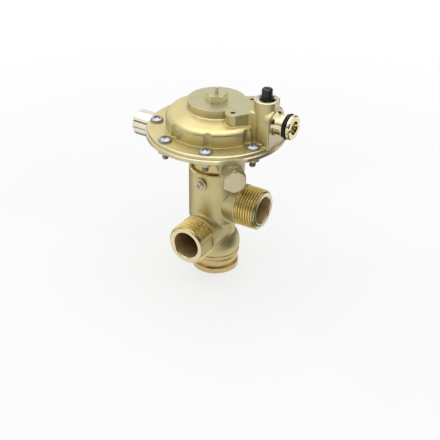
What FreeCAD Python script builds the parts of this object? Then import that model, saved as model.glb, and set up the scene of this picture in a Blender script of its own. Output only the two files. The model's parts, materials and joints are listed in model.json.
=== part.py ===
import FreeCAD, Part
import math
import os

V = FreeCAD.Vector
UP = V(0, 0, 1)
os.makedirs("parts", exist_ok=True)

# Pressure-operated diverter valve. The spindle axis is +Z, the origin is the centre of the bottom
# port's end face, +X is the upper threaded port and -Y the lower one. All sizes are millimetres.

# Threaded ports of the body
thread_r = 13.22            # crest of the G 3/4 pipe thread
port_lead = 1.5             # chamfer at the thread's first turn
port_thread_len = 14.0      # end of the cast neck to the port's end face
port_neck_len = 4.15        # barrel to the end of the cast neck
port_neck_r = 13.4
port_root_r = 12.3          # the cast neck tapers to this on the valve axis
port_relief_r = 12.6        # groove where the thread runs out
port_relief_w = 0.8
port_bore_r = 8.8
port_bore_depth = 17.5
port_throat_r = 5.3         # passage from the bore into the valve chamber
port_flat = 11.6            # flat on the lower port, from that port's axis
port_mouth = 0.6            # chamfer in the mouth of each bore
upper_port_z = 50.75
lower_port_z = 31.1
upper_port_angle = 0.0
lower_port_angle = -90.0

# Body casting
foot_step = 2.5             # waist radius to foot radius
foot_h = 3.5
seal_groove_depth = 1.5
seal_groove_w = 2.0
band_step = 0.3             # foot radius to the middle of the band
band_swell = 0.4
band_h = 4.2
clip_groove_depth = 0.8
clip_groove_w = 1.0
collar_step = 0.5           # collar beyond the foot
collar_h = 1.8
bulb_step = 3.3             # waist radius to the bulb's radius
bulb_z = 16.5
bulb_ledge = 0.5            # collar's edge to the bulb's lower end
waist_step = 0.6            # root radius of the ports' necks to the waist's radius
waist_z0 = 26.0
waist_z1 = 33.0
barrel_r = 17.35            # the ports' reach and the housing's neck follow it
barrel_z0 = 35.5
barrel_shoulder = 1.45      # waist to the barrel's lower round
barrel_rim_z = 74.0
rim_edge = 0.5
cup_wall = 2.25
cup_floor_z = 57.5
cast_fillet = 1.8

# Water ways inside the body
foot_wall = 4.4
lower_ledge_z = 24.0
waist_wall = 3.4
seat_r = 7.2
seat_rim_w = 1.4
seat_rim_h = 1.0
seat_web_t = 2.7
seat_web_z = 36.5
chamber_step = 1.1          # cup radius to chamber radius

# Lock screw on the barrel
lock_z = 67.0
lock_boss_r = 4.3
lock_boss_h = 1.6
lock_screw_r = 1.5
lock_head_r = 2.8
lock_head_h = 1.8
lock_bite = 1.2
lock_angle = -90.0

# Lower housing
flange_rise = 21.8          # body rim to the flange's underside
low_flange_r = 44.0         # the round of screws, the cover and the side faces follow it
low_flange_t = 3.0
low_flange_edge = 0.6
bowl_depth = 8.2
bowl_floor_t = 2.5
bowl_edge = 3.6
neck_gap = 0.15
neck_bore_r = 7.0
neck_fillet = 2.0
neck_floor_t = 7.0
ring_cord_r = 0.95          # section radius of the neck's sealing rings
ring_groove_w = 2.4
ring_offsets = (4.0, 13.5)  # ring centres above the neck's lower end
drop_boss_r = 4.3
drop_boss_h = 2.4

# Side ports of the lower housing
side_flat = 0.9             # what the flat side faces take off the flange's rim
side_drop = 7.8             # flange underside to the ports' axis
side_depth = 10.0           # depth of the tapped hole
side_feed_r = 3.2
feed_run_in = 6.3           # how far a feed runs in under the chamber
pad_depth = 5.3             # flange underside to the bottom of the square pads
plug_angle = -45.0
plug_block_w = 15.3
plug_boss_r = 6.6
plug_thread_r = 4.86
tube_angle = 180.0
tube_block_w = 18.4
tube_boss_r = 9.2
tube_thread_r = 6.0

# Hexagon plug and inlet tube
washer_r = 7.0
washer_t = 1.0
plug_collar_r = 7.2
plug_collar_t = 1.4
plug_hex = 13.0
plug_hex_h = 5.5
tube_r = 8.3
tube_len = 16.4             # side face to the tube's open end
tube_bore_r = 6.2
tube_edge = 0.7
tube_counterbore = 11.0

# Cover
flange_step = 1.2           # cover flange inside the lower flange
top_flange_t = 2.2
top_flange_edge = 0.5
dome_wall_h = 7.1
bevel_w = 2.9
bevel_h = 3.1
bevel_swell = 0.5           # how far the rounded bevel stands out
cone_h = 2.1
plateau_r = 18.1
plateau_h = 5.7
plateau_round = 1.4
dome_t = 3.9                # wall left behind each screw recess
roof_t = 2.6

# Screws round the flanges
screw_count = 8
screw_first = 22.5
screw_edge = 6.2            # lower flange's rim to the screws' centres
screw_r = 2.0
screw_len = 12.0
screw_head_r = 4.2
screw_head_h = 2.8
screw_hole_r = 2.25
recess_w = 7.4
recess_inset = 3.9          # screw centre to the centre of its recess's round end
wall_inset = 6.2            # screws' centres to the dome's wall

# Bracket bosses on the cover
bracket_back = 16.4         # tower axis to the line of the two holes
bracket_spacing = 23.0
bracket_boss_r = 4.9
bracket_hole_r = 1.65
bracket_hole_depth = 7.0
gusset_back = 7.4           # tower axis to the end of each boss's slanted wall

# Regulator tower and outlet block on the cover
outlet_inset = 0.2          # cover flange's rim to the outlet face
outlet_rise = 14.7          # joint plane to the outlet's axis
outlet_screw_gap = 0.265    # outlet block to the screw heads beside it
outlet_head_len = 4.2       # the round-topped plate at the front of the block
outlet_block_len = 15.0
block_half_w = 7.2          # block behind that plate, under the tower
block_rise = 1.2            # plateau to the block's top
outlet_edge = 0.7
lobe_half_w = 6.9           # web from the plateau to the outlet block
lobe_round = 1.2
tower_inset = 7.4           # outlet face to the tower's axis
tower_r = 7.8
tower_face = 0.2            # outlet face to the flat on the tower
tower_rise = 8.9            # plateau to the tower's rim
tower_edge = 0.5
tower_bore_r = 3.27
tower_bore_floor = 4.5      # joint plane to the bottom of the bore
tower_mouth_r = 6.1
tower_mouth_depth = 6.2
link_r = 2.4                # passage from the chamber to the tower

# Outlet spigot
spigot_thread_r = 5.0
spigot_thread_len = 2.8
spigot_r = 6.4
spigot_plain = 5.7          # outlet face to the back of the ring's seat
spigot_collar_r = 7.6
spigot_nose = 2.0
spigot_groove_w = 3.2
spigot_back_w = 0.9
spigot_bore_r = 2.9
spigot_mouth_r = 4.2
spigot_mouth_depth = 5.0
spigot_slot_w = 1.5
spigot_slot_depth = 1.6
spigot_edge = 0.6
spigot_ring_r = 1.45

# Regulator, its ring and its circlip
regulator_gap = 0.07
regulator_tip_gap = 1.0
regulator_flange_gap = 0.12
regulator_flange_t = 4.6
regulator_neck_r = 4.3
regulator_neck_rise = 1.1
regulator_stub_r = 3.3
regulator_top_rise = 6.4
regulator_slot_w = 1.1
regulator_slot_depth = 2.2
regulator_notch = 10.5
regulator_ring_r = 0.5
regulator_ring_drop = 2.6
circlip_t = 1.0
circlip_w = 1.8
circlip_bite = 0.45
circlip_opening = 50.0
circlip_ear_r = 0.9
circlip_ear_gap = 0.1
circlip_turn = 0.0
circlip_gap = 0.2

# Diaphragm and its plates
lift = 4.0                  # travel of the spindle
joint_sag = 6.2             # joint plane to the underside of the diaphragm's centre at rest
diaphragm_t = 1.2
bead_inset = 4.4            # screws' centres to the bead's rim
bead_w = 2.8
bead_h = 2.2
bead_gap = 0.05
plate_t = 1.5
plate_gap = 7.3             # chamber wall to the upper plate's edge
plate_step = 2.0            # upper plate's edge to the lower plate's
nut_hex = 7.0
nut_h = 2.8
stem_tip = 0.7

# Spindle
stem_r = 2.5
stem_thin_r = 2.0
stem_tail_r = 1.6
run_gap = 0.06              # radial clearance of every sliding fit
seat_gap = 0.02             # radial clearance of parts that seat in one another
disc_r = 9.4
disc_t = 2.2
disc_hub_r = 4.5
disc_seal_r = 9.2
disc_seal_t = 2.0
lower_disc_r = 9.0
closing_gap = 0.1
clip_r = 3.6
clip_t = 0.8
clip_bite = 0.5
clip_opening = 80.0
ring_h = 3.8                # height of the lower seat ring
pin_r = 1.15
pin_head_r = 3.0
pin_head_h = 1.5
pin_rise = 8.2              # plateau to the pin's tip at rest
pin_hole_gap = 0.4

# Gland on the cover, gland in the neck, spring
gland_hex = 12.0
gland_hex_h = 4.2
gland_turn = 30.0
gland_thread_r = 4.0
gland_bore_depth = 8.0
gland_seal_h = 1.6
stem_gland_r = 6.0
stem_gland_flange_r = 9.0
stem_gland_flange_t = 2.0
stem_seal_r = 4.2
stem_seal_h = 2.0
stem_seal_rise = 2.5
spring_wire_r = 0.55
spring_mean_r = 5.6
spring_turns = 4.5

# Levels and radii that follow from the sizes above
waist_r = port_root_r + waist_step
barrel_round = barrel_r - waist_r - barrel_shoulder
foot_r = waist_r + foot_step
seal_groove_r = foot_r - seal_groove_depth
band_r = foot_r - band_step
band_edge_r = band_r - band_swell
clip_groove_r = band_edge_r - clip_groove_depth
collar_r = foot_r + collar_step
bulb_r = waist_r + bulb_step
bulb_foot_r = collar_r - bulb_ledge
bottom_bore_r = foot_r - foot_wall
middle_r = waist_r - waist_wall
port_neck_reach = barrel_r + port_neck_len
port_reach = port_neck_reach + port_thread_len
band_z0 = foot_h + seal_groove_w
band_z1 = band_z0 + band_h
collar_z0 = band_z1 + clip_groove_w
collar_z1 = collar_z0 + collar_h
cup_r = barrel_r - cup_wall
chamber_r = cup_r - chamber_step
lock_boss_reach = barrel_r + lock_boss_h
chamber_floor_z = seat_web_z + seat_web_t
seat_z = chamber_floor_z + seat_rim_h
neck_r = cup_r - neck_gap
flange_z = barrel_rim_z + flange_rise
joint_z = flange_z + low_flange_t
flange_top_z = joint_z + top_flange_t
bowl_z = flange_z - bowl_depth
bowl_floor_z = bowl_z + bowl_floor_t
side_z = flange_z - side_drop
wall_top_z = flange_top_z + dome_wall_h
bevel_top_z = wall_top_z + bevel_h
cone_top_z = bevel_top_z + cone_h
plateau_z = cone_top_z + plateau_h
side_face = low_flange_r - side_flat
tube_end = side_face + tube_len
top_flange_r = low_flange_r - flange_step
screw_pitch_r = low_flange_r - screw_edge
dome_wall_r = screw_pitch_r - wall_inset
bevel_r = dome_wall_r - bevel_w
recess_r = screw_pitch_r - recess_inset
dome_inner_r = recess_r - recess_w / 2 - dome_t
side_feed_x = dome_inner_r - feed_run_in
bead_r = screw_pitch_r - bead_inset
upper_plate_r = dome_inner_r - plate_gap
lower_plate_r = upper_plate_r - plate_step
roof_z = bevel_top_z - roof_t
outlet_z = joint_z + outlet_rise
outlet_face = top_flange_r - outlet_inset
outlet_half_w = screw_pitch_r * math.sin(math.radians(screw_first)) - screw_head_r - outlet_screw_gap
tower_x = outlet_face - tower_inset
bracket_x = tower_x - bracket_back
spigot_reach = outlet_face + spigot_plain + spigot_back_w + spigot_groove_w + spigot_nose
tower_z = plateau_z + tower_rise
tower_mouth_z = tower_z - tower_mouth_depth
diaphragm_z = joint_z - joint_sag
stem_shoulder_z = diaphragm_z - plate_t
upper_plate_z = diaphragm_z + diaphragm_t
nut_z = upper_plate_z + plate_t
stem_top_z = nut_z + nut_h + stem_tip
disc_z = seat_z + disc_seal_t
disc_shoulder_z = disc_z + disc_t
lower_seat_z = lower_ledge_z - ring_h
tail_shoulder_z = lower_seat_z - lift - closing_gap
gland_seal_z = plateau_z - gland_bore_depth
stem_gland_z = cup_floor_z - stem_gland_flange_t
circlip_z = tower_mouth_z + regulator_flange_t + circlip_gap


# Building blocks


def outline(start, *steps):
    """Closed wire of (radius, height) points; a (centre, end) pair is an arc to that end."""
    edges = []
    here = V(start[0], 0, start[1])
    for step in steps + (start,):
        is_arc = isinstance(step[0], tuple)
        end_point = step[1] if is_arc else step
        end = V(end_point[0], 0, end_point[1])
        if is_arc:
            centre = V(step[0][0], 0, step[0][1])
            towards = (here - centre) + (end - centre)
            towards.normalize()
            middle = centre + towards * (end - centre).Length
            edges.append(Part.Arc(here, middle, end).toShape())
        else:
            edges.append(Part.LineSegment(here, end).toShape())
        here = end
    return Part.Wire(edges)


def turned(start, *steps):
    """Solid of revolution about +Z from a half outline."""
    return Part.Face(outline(start, *steps)).revolve(V(0, 0, 0), UP, 360)


def rod(radius, low, high):
    """Cylinder on the Z axis between two heights."""
    return Part.makeCylinder(radius, high - low, V(0, 0, low))


def tube(outer, inner, low, high):
    """Plain ring on the Z axis between two heights."""
    return rod(outer, low, high).cut(rod(inner, low, high))


def hexagon(flats, low, high):
    """Hexagonal prism on the Z axis with a corner on +X."""
    corner = flats / math.sqrt(3)
    points = []
    for step in range(6):
        angle = math.radians(60 * step)
        points.append(V(corner * math.cos(angle), corner * math.sin(angle), low))
    return Part.Face(Part.makePolygon(points + points[:1])).extrude(V(0, 0, high - low))


def block(size_x, size_y, size_z, x, y, z):
    """Box centred on y, starting at x and z."""
    return Part.makeBox(size_x, size_y, size_z, V(x, y - size_y / 2, z))


def radial(shape, angle, height):
    """Lays a piece made along +Z on a horizontal axis that leaves the valve axis at angle."""
    laid = shape.copy()
    laid.rotate(V(0, 0, 0), V(0, 1, 0), 90)
    laid.rotate(V(0, 0, 0), UP, angle)
    laid.translate(V(0, 0, height))
    return laid


def moved(shape, x, y, z=0):
    """Copy of a piece, shifted."""
    copy = shape.copy()
    copy.translate(V(x, y, z))
    return copy


def screw_places():
    """Centres of the flange screws, with their angles."""
    for step in range(screw_count):
        angle = screw_first + 360.0 / screw_count * step
        turn = math.radians(angle)
        yield angle, screw_pitch_r * math.cos(turn), screw_pitch_r * math.sin(turn)


def at_screws(shape):
    """The same piece at every flange screw."""
    return [moved(shape, x, y) for angle, x, y in screw_places()]


def joined(shapes):
    """One solid out of several that meet."""
    return shapes[0].multiFuse(shapes[1:]).removeSplitter()


def save(name, shape):
    """Writes one piece."""
    shape.exportStep("parts/" + name + ".step")


# Body casting


def threaded_port():
    """Cast neck and threaded end of a port, along +Z from the valve axis."""
    relief_end = port_neck_reach + port_relief_w
    neck_edge = port_neck_r - port_relief_r
    return turned(
        (0, 0),
        (port_root_r, 0),
        (port_neck_r, port_neck_reach - neck_edge / 2),
        (port_neck_r - neck_edge / 2, port_neck_reach),
        (port_relief_r, port_neck_reach),
        (port_relief_r, relief_end),
        (thread_r, relief_end + thread_r - port_relief_r),
        (thread_r, port_reach - port_lead),
        (thread_r - port_lead, port_reach),
        (0, port_reach),
    )


def port_way(inner_start):
    """Bore of a port with its mouth, and the throat into the chamber."""
    bore = turned(
        (0, port_reach - port_bore_depth),
        (port_bore_r, port_reach - port_bore_depth),
        (port_bore_r, port_reach - port_mouth),
        (port_bore_r + port_mouth, port_reach),
        (0, port_reach),
    )
    return bore.fuse(rod(port_throat_r, inner_start, port_reach))


def bulb_centre():
    """Centre of the arc through the collar's top, the bulb's widest point and the waist."""
    low = V(bulb_foot_r, 0, collar_z1)
    high = V(waist_r, 0, waist_z0)
    swell = Part.Circle(low, V(bulb_r, 0, bulb_z), high)
    return (swell.Center.x, swell.Center.z)


def neck_roots(casting):
    """Edges where the cast necks run into the barrel, the waist and the bulb."""
    top = upper_port_z + port_neck_r + cast_fillet
    roots = []
    for edge in casting.Edges:
        box = edge.BoundBox
        in_height = box.ZMin > collar_z1 and box.ZMax < top
        in_reach = box.XMax < port_neck_reach and box.YMin > -port_neck_reach
        if in_height and in_reach and isinstance(edge.Curve, Part.BSplineCurve):
            roots.append(edge)
    return roots


def cast_blank():
    """Outside of the casting, before any bore."""
    band_mid = (band_z0 + band_z1) / 2
    half_band = band_h / 2
    band_radius = (half_band ** 2 + band_swell ** 2) / (2 * band_swell)
    barrel = turned(
        (0, 0),
        (foot_r, 0),
        (foot_r, foot_h),
        (seal_groove_r, foot_h),
        (seal_groove_r, band_z0),
        (band_edge_r, band_z0),
        ((band_r - band_radius, band_mid), (band_edge_r, band_z1)),
        (clip_groove_r, band_z1),
        (clip_groove_r, collar_z0),
        (collar_r, collar_z0),
        (collar_r, collar_z1),
        (bulb_foot_r, collar_z1),
        (bulb_centre(), (waist_r, waist_z0)),
        (waist_r, waist_z1),
        (barrel_r - barrel_round, barrel_z0),
        ((barrel_r - barrel_round, barrel_z0 + barrel_round), (barrel_r, barrel_z0 + barrel_round)),
        (barrel_r, barrel_rim_z - rim_edge),
        (barrel_r - rim_edge, barrel_rim_z),
        (0, barrel_rim_z),
    )
    lower_port = radial(threaded_port(), lower_port_angle, lower_port_z)
    flat_len = port_reach - port_neck_reach
    flat_cut = Part.makeBox(port_neck_r, flat_len, 2 * port_neck_r)
    flat_cut.translate(V(port_flat, -port_reach, lower_port_z - port_neck_r))
    lock_boss = radial(rod(lock_boss_r, barrel_r - cup_wall / 2, lock_boss_reach), lock_angle, lock_z)
    upper_port = radial(threaded_port(), upper_port_angle, upper_port_z)
    casting = joined([barrel, upper_port, lower_port.cut(flat_cut), lock_boss]).Solids[0]
    return casting.makeFillet(cast_fillet, neck_roots(casting))


def valve_body():
    """Body casting with its ports, seats and the cup that takes the housing's neck."""
    ways = turned(
        (0, 0),
        (bottom_bore_r + port_mouth, 0),
        (bottom_bore_r, port_mouth),
        (bottom_bore_r, lower_ledge_z),
        (middle_r, lower_ledge_z),
        (middle_r, seat_web_z),
        (seat_r, seat_web_z),
        (seat_r, seat_z),
        (seat_r + seat_rim_w, seat_z),
        (seat_r + seat_rim_w, chamber_floor_z),
        (chamber_r, chamber_floor_z),
        (chamber_r, cup_floor_z),
        (cup_r, cup_floor_z),
        (cup_r, barrel_rim_z - rim_edge),
        (cup_r + rim_edge, barrel_rim_z),
        (0, barrel_rim_z),
    )
    upper_way = radial(port_way(chamber_r / 2), upper_port_angle, upper_port_z)
    lower_way = radial(port_way(middle_r / 2), lower_port_angle, lower_port_z)
    lock_hole = radial(rod(lock_screw_r + seat_gap, cup_r / 2, lock_boss_reach), lock_angle, lock_z)
    return cast_blank().cut([ways, upper_way, lower_way, lock_hole])


# Lower housing


def side_block(width, boss_r):
    """Square pad and round boss of a side port, along +X."""
    pad = block(side_face - neck_r / 2, width, pad_depth, neck_r / 2, 0, flange_z - pad_depth)
    boss = radial(rod(boss_r, neck_r / 2, side_face), 0, side_z)
    return pad.fuse(boss)


def side_way(thread_hole_r):
    """Tapped hole of a side port and the feed that breaks into the chamber's floor, along +X."""
    tapped = radial(rod(thread_hole_r, side_face - side_depth, side_face), 0, side_z)
    feed = radial(rod(side_feed_r, side_feed_x, side_face), 0, side_z)
    return tapped.fuse(feed)


def flange_flat():
    """What is milled off the flange's rim in front of a side port."""
    reach = low_flange_r - side_face
    return block(reach, 2 * low_flange_r, low_flange_t, side_face, 0, flange_z)


def turned_to(shape, angle):
    """Copy of a piece made along +X, turned about the valve axis."""
    copy = shape.copy()
    copy.rotate(V(0, 0, 0), UP, angle)
    return copy


def bead_room(side):
    """Room for the diaphragm's bead and clamped web on one side of the joint plane."""
    web = diaphragm_t / 2
    deep = bead_h / 2
    web_room = rod(bead_r, joint_z + min(0, side * web), joint_z + max(0, side * web))
    low = joint_z + min(0, side * deep)
    bead_groove = tube(bead_r + bead_gap, bead_r - bead_w - bead_gap, low, low + deep)
    return [web_room, bead_groove]


def lower_housing():
    """Flange, shallow bowl and neck, with the two side ports."""
    blank = turned(
        (0, cup_floor_z),
        (neck_r - rim_edge, cup_floor_z),
        (neck_r, cup_floor_z + rim_edge),
        (neck_r, bowl_z - neck_fillet),
        ((neck_r + neck_fillet, bowl_z - neck_fillet), (neck_r + neck_fillet, bowl_z)),
        (dome_wall_r - bowl_edge, bowl_z),
        (dome_wall_r, bowl_z + bowl_edge),
        (dome_wall_r, flange_z),
        (low_flange_r - low_flange_edge, flange_z),
        (low_flange_r, flange_z + low_flange_edge),
        (low_flange_r, joint_z - low_flange_edge),
        (low_flange_r - low_flange_edge, joint_z),
        (0, joint_z),
    )
    plug_block = turned_to(side_block(plug_block_w, plug_boss_r), plug_angle)
    tube_block = turned_to(side_block(tube_block_w, tube_boss_r), tube_angle)
    drops = at_screws(rod(drop_boss_r, flange_z - drop_boss_h, flange_z + low_flange_t / 2))
    blank = joined([blank, plug_block, tube_block] + drops)

    chamber = rod(dome_inner_r, bowl_floor_z, joint_z)
    neck_bore = rod(neck_bore_r, cup_floor_z + neck_floor_t, joint_z)
    gland_hole = rod(stem_gland_r + seat_gap, cup_floor_z, joint_z)
    ring_floor_r = neck_r - 2 * ring_cord_r
    ring_grooves = []
    for offset in ring_offsets:
        middle = cup_floor_z + offset
        low = middle - ring_groove_w / 2
        ring_grooves.append(tube(neck_r, ring_floor_r, low, low + ring_groove_w))
    dimple = radial(rod(lock_screw_r + seat_gap, neck_r - lock_bite, neck_r), lock_angle, lock_z)
    holes = at_screws(rod(screw_r + seat_gap, flange_z - drop_boss_h, joint_z))
    plug_way = turned_to(side_way(plug_thread_r + seat_gap), plug_angle)
    tube_way = turned_to(side_way(tube_thread_r + seat_gap), tube_angle)
    flats = [turned_to(flange_flat(), plug_angle), turned_to(flange_flat(), tube_angle)]
    cuts = [chamber, neck_bore, gland_hole, dimple, plug_way, tube_way]
    return blank.cut(cuts + bead_room(-1) + ring_grooves + holes + flats)


# Cover


def bevel_centre():
    """Centre of the arc of the rounded bevel between the dome's wall and its cone."""
    chord = math.hypot(bevel_w, bevel_h)
    radius = ((chord / 2) ** 2 + bevel_swell ** 2) / (2 * bevel_swell)
    back = (radius - bevel_swell) / chord
    return ((dome_wall_r + bevel_r) / 2 - back * bevel_h, (wall_top_z + bevel_top_z) / 2 - back * bevel_w)


def dome():
    """Flange, wall, bevel, cone and raised plateau of the cover."""
    foot = plateau_r + plateau_round
    return turned(
        (0, joint_z),
        (top_flange_r, joint_z),
        (top_flange_r, flange_top_z - top_flange_edge),
        (top_flange_r - top_flange_edge, flange_top_z),
        (dome_wall_r, flange_top_z),
        (dome_wall_r, wall_top_z),
        (bevel_centre(), (bevel_r, bevel_top_z)),
        (foot, cone_top_z),
        ((foot, cone_top_z + plateau_round), (plateau_r, cone_top_z + plateau_round)),
        (plateau_r, plateau_z),
        (0, plateau_z),
    )


def screw_recess(angle):
    """U-shaped pocket in the dome that clears one screw head."""
    height = cone_top_z - flange_top_z
    end = moved(Part.makeCylinder(recess_w / 2, height), recess_r, 0, flange_top_z)
    open_side = block(top_flange_r - recess_r, recess_w, height, recess_r, 0, flange_top_z)
    return turned_to(end.fuse(open_side), angle)


def front_edges(shape, x):
    """Edges that bound a block's face at x, above the flange."""
    found = []
    for edge in shape.Edges:
        box = edge.BoundBox
        if box.XMin > x - seat_gap and box.XMax < x + seat_gap and box.ZMax > flange_top_z:
            found.append(edge)
    return found


def top_edges(shape, z):
    """Edges along X that bound a block's top at z."""
    found = []
    for edge in shape.Edges:
        box = edge.BoundBox
        if box.ZMin > z - seat_gap and box.YLength < seat_gap and box.XLength > seat_gap:
            found.append(edge)
    return found


def outlet_block():
    """Round-topped plate at the outlet's face, the block behind it, its web to the plateau, and the tower."""
    head_x = outlet_face - outlet_head_len
    block_x = outlet_face - outlet_block_len
    head = radial(rod(outlet_half_w, head_x, outlet_face), 0, outlet_z)
    base = block(outlet_head_len, 2 * outlet_half_w, outlet_z - joint_z, head_x, 0, joint_z)
    front = joined([head, base])
    front = front.makeChamfer(outlet_edge, front_edges(front, outlet_face))
    block_z = plateau_z + block_rise
    back = block(tower_x - block_x, 2 * block_half_w, block_z - joint_z, block_x, 0, joint_z)
    back = back.makeFillet(lobe_round, top_edges(back, block_z))
    web_x = plateau_r / 2
    web = block(head_x - web_x, 2 * lobe_half_w, plateau_z - joint_z, web_x, 0, joint_z)
    tower = turned(
        (0, joint_z),
        (tower_r, joint_z),
        (tower_r, tower_z - tower_edge),
        (tower_r - tower_edge, tower_z),
        (0, tower_z),
    )
    flat_x = outlet_face - tower_face
    tower_room = block(2 * flat_x, 2 * top_flange_r, tower_z, -flat_x, 0, 0)
    return [front, back, web, moved(tower, tower_x, 0).common(tower_room)]


def bracket_boss(side):
    """Boss of one bracket hole, with a slanted wall that runs to the web."""
    y = side * bracket_spacing / 2
    end_x = tower_x - gusset_back
    end_y = side * lobe_half_w
    run = math.hypot(end_x - bracket_x, end_y - y)
    spread = math.acos(bracket_boss_r / run)
    angle = math.atan2(end_y - y, end_x - bracket_x) + side * spread
    touch_x = bracket_x + bracket_boss_r * math.cos(angle)
    touch_y = y + bracket_boss_r * math.sin(angle)
    corners = [(bracket_x, y), (touch_x, touch_y), (end_x, end_y), (end_x, 0), (bracket_x, 0), (bracket_x, y)]
    plan = Part.makePolygon([V(x, corner_y, wall_top_z) for x, corner_y in corners])
    gusset = Part.Face(plan).extrude(V(0, 0, plateau_z - wall_top_z))
    return gusset.fuse(moved(rod(bracket_boss_r, wall_top_z, plateau_z), bracket_x, y))


def circlip_groove():
    """Groove for the circlip in the tower's mouth."""
    groove_r = tower_mouth_r + circlip_bite
    return moved(rod(groove_r, circlip_z - seat_gap, circlip_z + circlip_t + seat_gap), tower_x, 0)


def upper_cover():
    """Cover casting with the spindle gland, the bracket bosses, the tower and the outlet face."""
    shell = dome().cut([screw_recess(angle) for angle, x, y in screw_places()])
    bosses = []
    bracket_holes = []
    for side in (-1, 1):
        y = side * bracket_spacing / 2
        bosses.append(bracket_boss(side))
        hole = rod(bracket_hole_r, plateau_z - bracket_hole_depth, plateau_z)
        bracket_holes.append(moved(hole, bracket_x, y))
    blank = joined([shell] + bosses + outlet_block())

    cavity = turned(
        (0, joint_z),
        (dome_inner_r, joint_z),
        (dome_inner_r, wall_top_z - roof_t),
        (plateau_r, roof_z),
        (0, roof_z),
    )
    pin_way = rod(pin_r + pin_hole_gap, joint_z, plateau_z)
    gland_bore = rod(gland_thread_r + seat_gap, gland_seal_z, plateau_z)
    bore = moved(rod(tower_bore_r, joint_z + tower_bore_floor, tower_z), tower_x, 0)
    mouth = moved(rod(tower_mouth_r, tower_mouth_z, tower_z), tower_x, 0)
    link_z = joint_z + tower_bore_floor + link_r
    link = radial(rod(link_r, dome_inner_r / 2, tower_x), 0, link_z)
    hole_x = outlet_face - spigot_thread_len
    spigot_hole = radial(rod(spigot_thread_r + seat_gap, hole_x, outlet_face), 0, outlet_z)
    spigot_way = radial(rod(spigot_bore_r, tower_x, outlet_face), 0, outlet_z)
    holes = at_screws(rod(screw_hole_r, joint_z, flange_top_z))
    cuts = [cavity, pin_way, gland_bore, bore, mouth, circlip_groove(), link, spigot_hole, spigot_way]
    return blank.cut(cuts + bead_room(1) + holes + bracket_holes)


# Fasteners, plug, tube and spigot


def cross_recess(top, size):
    """Two crossed slots that taper into a screw head from above."""
    slot = block(2 * size, size / 2, size, -size, 0, top - size)
    other = turned_to(slot, 90)
    taper = Part.makeCone(size / 3, size, size, V(0, 0, top - size))
    return slot.fuse(other).common(taper)


def pan_screw(shank_r, length, head_r, head_h):
    """Pan head screw along +Z with the underside of its head at the origin."""
    rim = head_h / 3
    crown = head_h - rim
    dome_r = (head_r ** 2 + crown ** 2) / (2 * crown)
    screw = turned(
        (0, -length),
        (shank_r - shank_r / 4, -length),
        (shank_r, -length + shank_r / 4),
        (shank_r, 0),
        (head_r, 0),
        (head_r, rim),
        ((0, head_h - dome_r), (0, head_h)),
    )
    return screw.cut(cross_recess(head_h, head_r / 2))


def cover_screws():
    """The screws that clamp the cover on the lower housing."""
    screw = moved(pan_screw(screw_r, screw_len, screw_head_r, screw_head_h), 0, 0, flange_top_z)
    return Part.makeCompound(at_screws(screw))


def lock_screw():
    """Screw through the barrel that holds the housing's neck."""
    length = lock_boss_reach - neck_r + lock_bite - seat_gap
    screw = pan_screw(lock_screw_r, length, lock_head_r, lock_head_h)
    return radial(moved(screw, 0, 0, lock_boss_reach), lock_angle, lock_z)


def plug_washer():
    """Sealing washer under the hexagon plug."""
    ring = tube(washer_r, plug_thread_r + seat_gap, side_face, side_face + washer_t)
    return radial(ring, plug_angle, side_z)


def hex_plug():
    """Blanking plug of the lower chamber."""
    collar_start = side_face + washer_t
    collar_end = collar_start + plug_collar_t
    head_end = collar_end + plug_hex_h
    corner = plug_hex / math.sqrt(3)
    chamfer = corner - plug_hex / 2
    head_limit = turned(
        (0, collar_end),
        (corner, collar_end),
        (corner, head_end - chamfer / 2),
        (corner - chamfer, head_end),
        (0, head_end),
    )
    head = hexagon(plug_hex, collar_end, head_end).common(head_limit)
    shank = rod(plug_thread_r, side_face - side_depth + washer_t, collar_start)
    plug = joined([shank, rod(plug_collar_r, collar_start, collar_end), head])
    return radial(plug, plug_angle, side_z)


def inlet_tube():
    """Turned tube screwed into the side of the lower housing."""
    tube_body = turned(
        (side_feed_r, side_face - side_depth),
        (tube_thread_r, side_face - side_depth),
        (tube_thread_r, side_face),
        (tube_r - tube_edge / 2, side_face),
        (tube_r, side_face + tube_edge / 2),
        (tube_r, tube_end - tube_edge),
        (tube_r - tube_edge, tube_end),
        (tube_bore_r + tube_edge / 2, tube_end),
        (tube_bore_r, tube_end - tube_edge / 2),
        (tube_bore_r, tube_end - tube_counterbore),
        (side_feed_r, tube_end - tube_counterbore - (tube_bore_r - side_feed_r) / 2),
    )
    return radial(tube_body, tube_angle, side_z)


def spigot_groove_floor():
    """Radius of the floor of the spigot's ring groove."""
    return spigot_collar_r - 2 * spigot_ring_r + spigot_ring_r / 4


def outlet_spigot():
    """Turned spigot on the outlet face, with its ring groove and a driver slot."""
    groove_end = spigot_reach - spigot_nose
    groove_start = groove_end - spigot_groove_w
    floor_r = spigot_groove_floor()
    back_start = groove_start - spigot_back_w
    body = turned(
        (spigot_bore_r, outlet_face - spigot_thread_len),
        (spigot_thread_r, outlet_face - spigot_thread_len),
        (spigot_thread_r, outlet_face),
        (spigot_collar_r, outlet_face),
        (spigot_r, outlet_face + spigot_collar_r - spigot_r),
        (spigot_r, back_start),
        (spigot_collar_r - spigot_edge / 2, back_start),
        (spigot_collar_r - spigot_edge / 2, groove_start),
        (floor_r, groove_start),
        (floor_r, groove_end),
        (spigot_collar_r, groove_end),
        (spigot_collar_r, spigot_reach - spigot_edge),
        (spigot_collar_r - spigot_edge, spigot_reach),
        (spigot_mouth_r, spigot_reach),
        (spigot_mouth_r, spigot_reach - spigot_mouth_depth),
        (spigot_bore_r, spigot_reach - spigot_mouth_depth - (spigot_mouth_r - spigot_bore_r)),
    )
    slot_z = spigot_reach - spigot_slot_depth
    slot = block(spigot_slot_w, 2 * spigot_collar_r, spigot_slot_depth, -spigot_slot_w / 2, 0, slot_z)
    return radial(body.cut(slot), 0, outlet_z)


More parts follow.
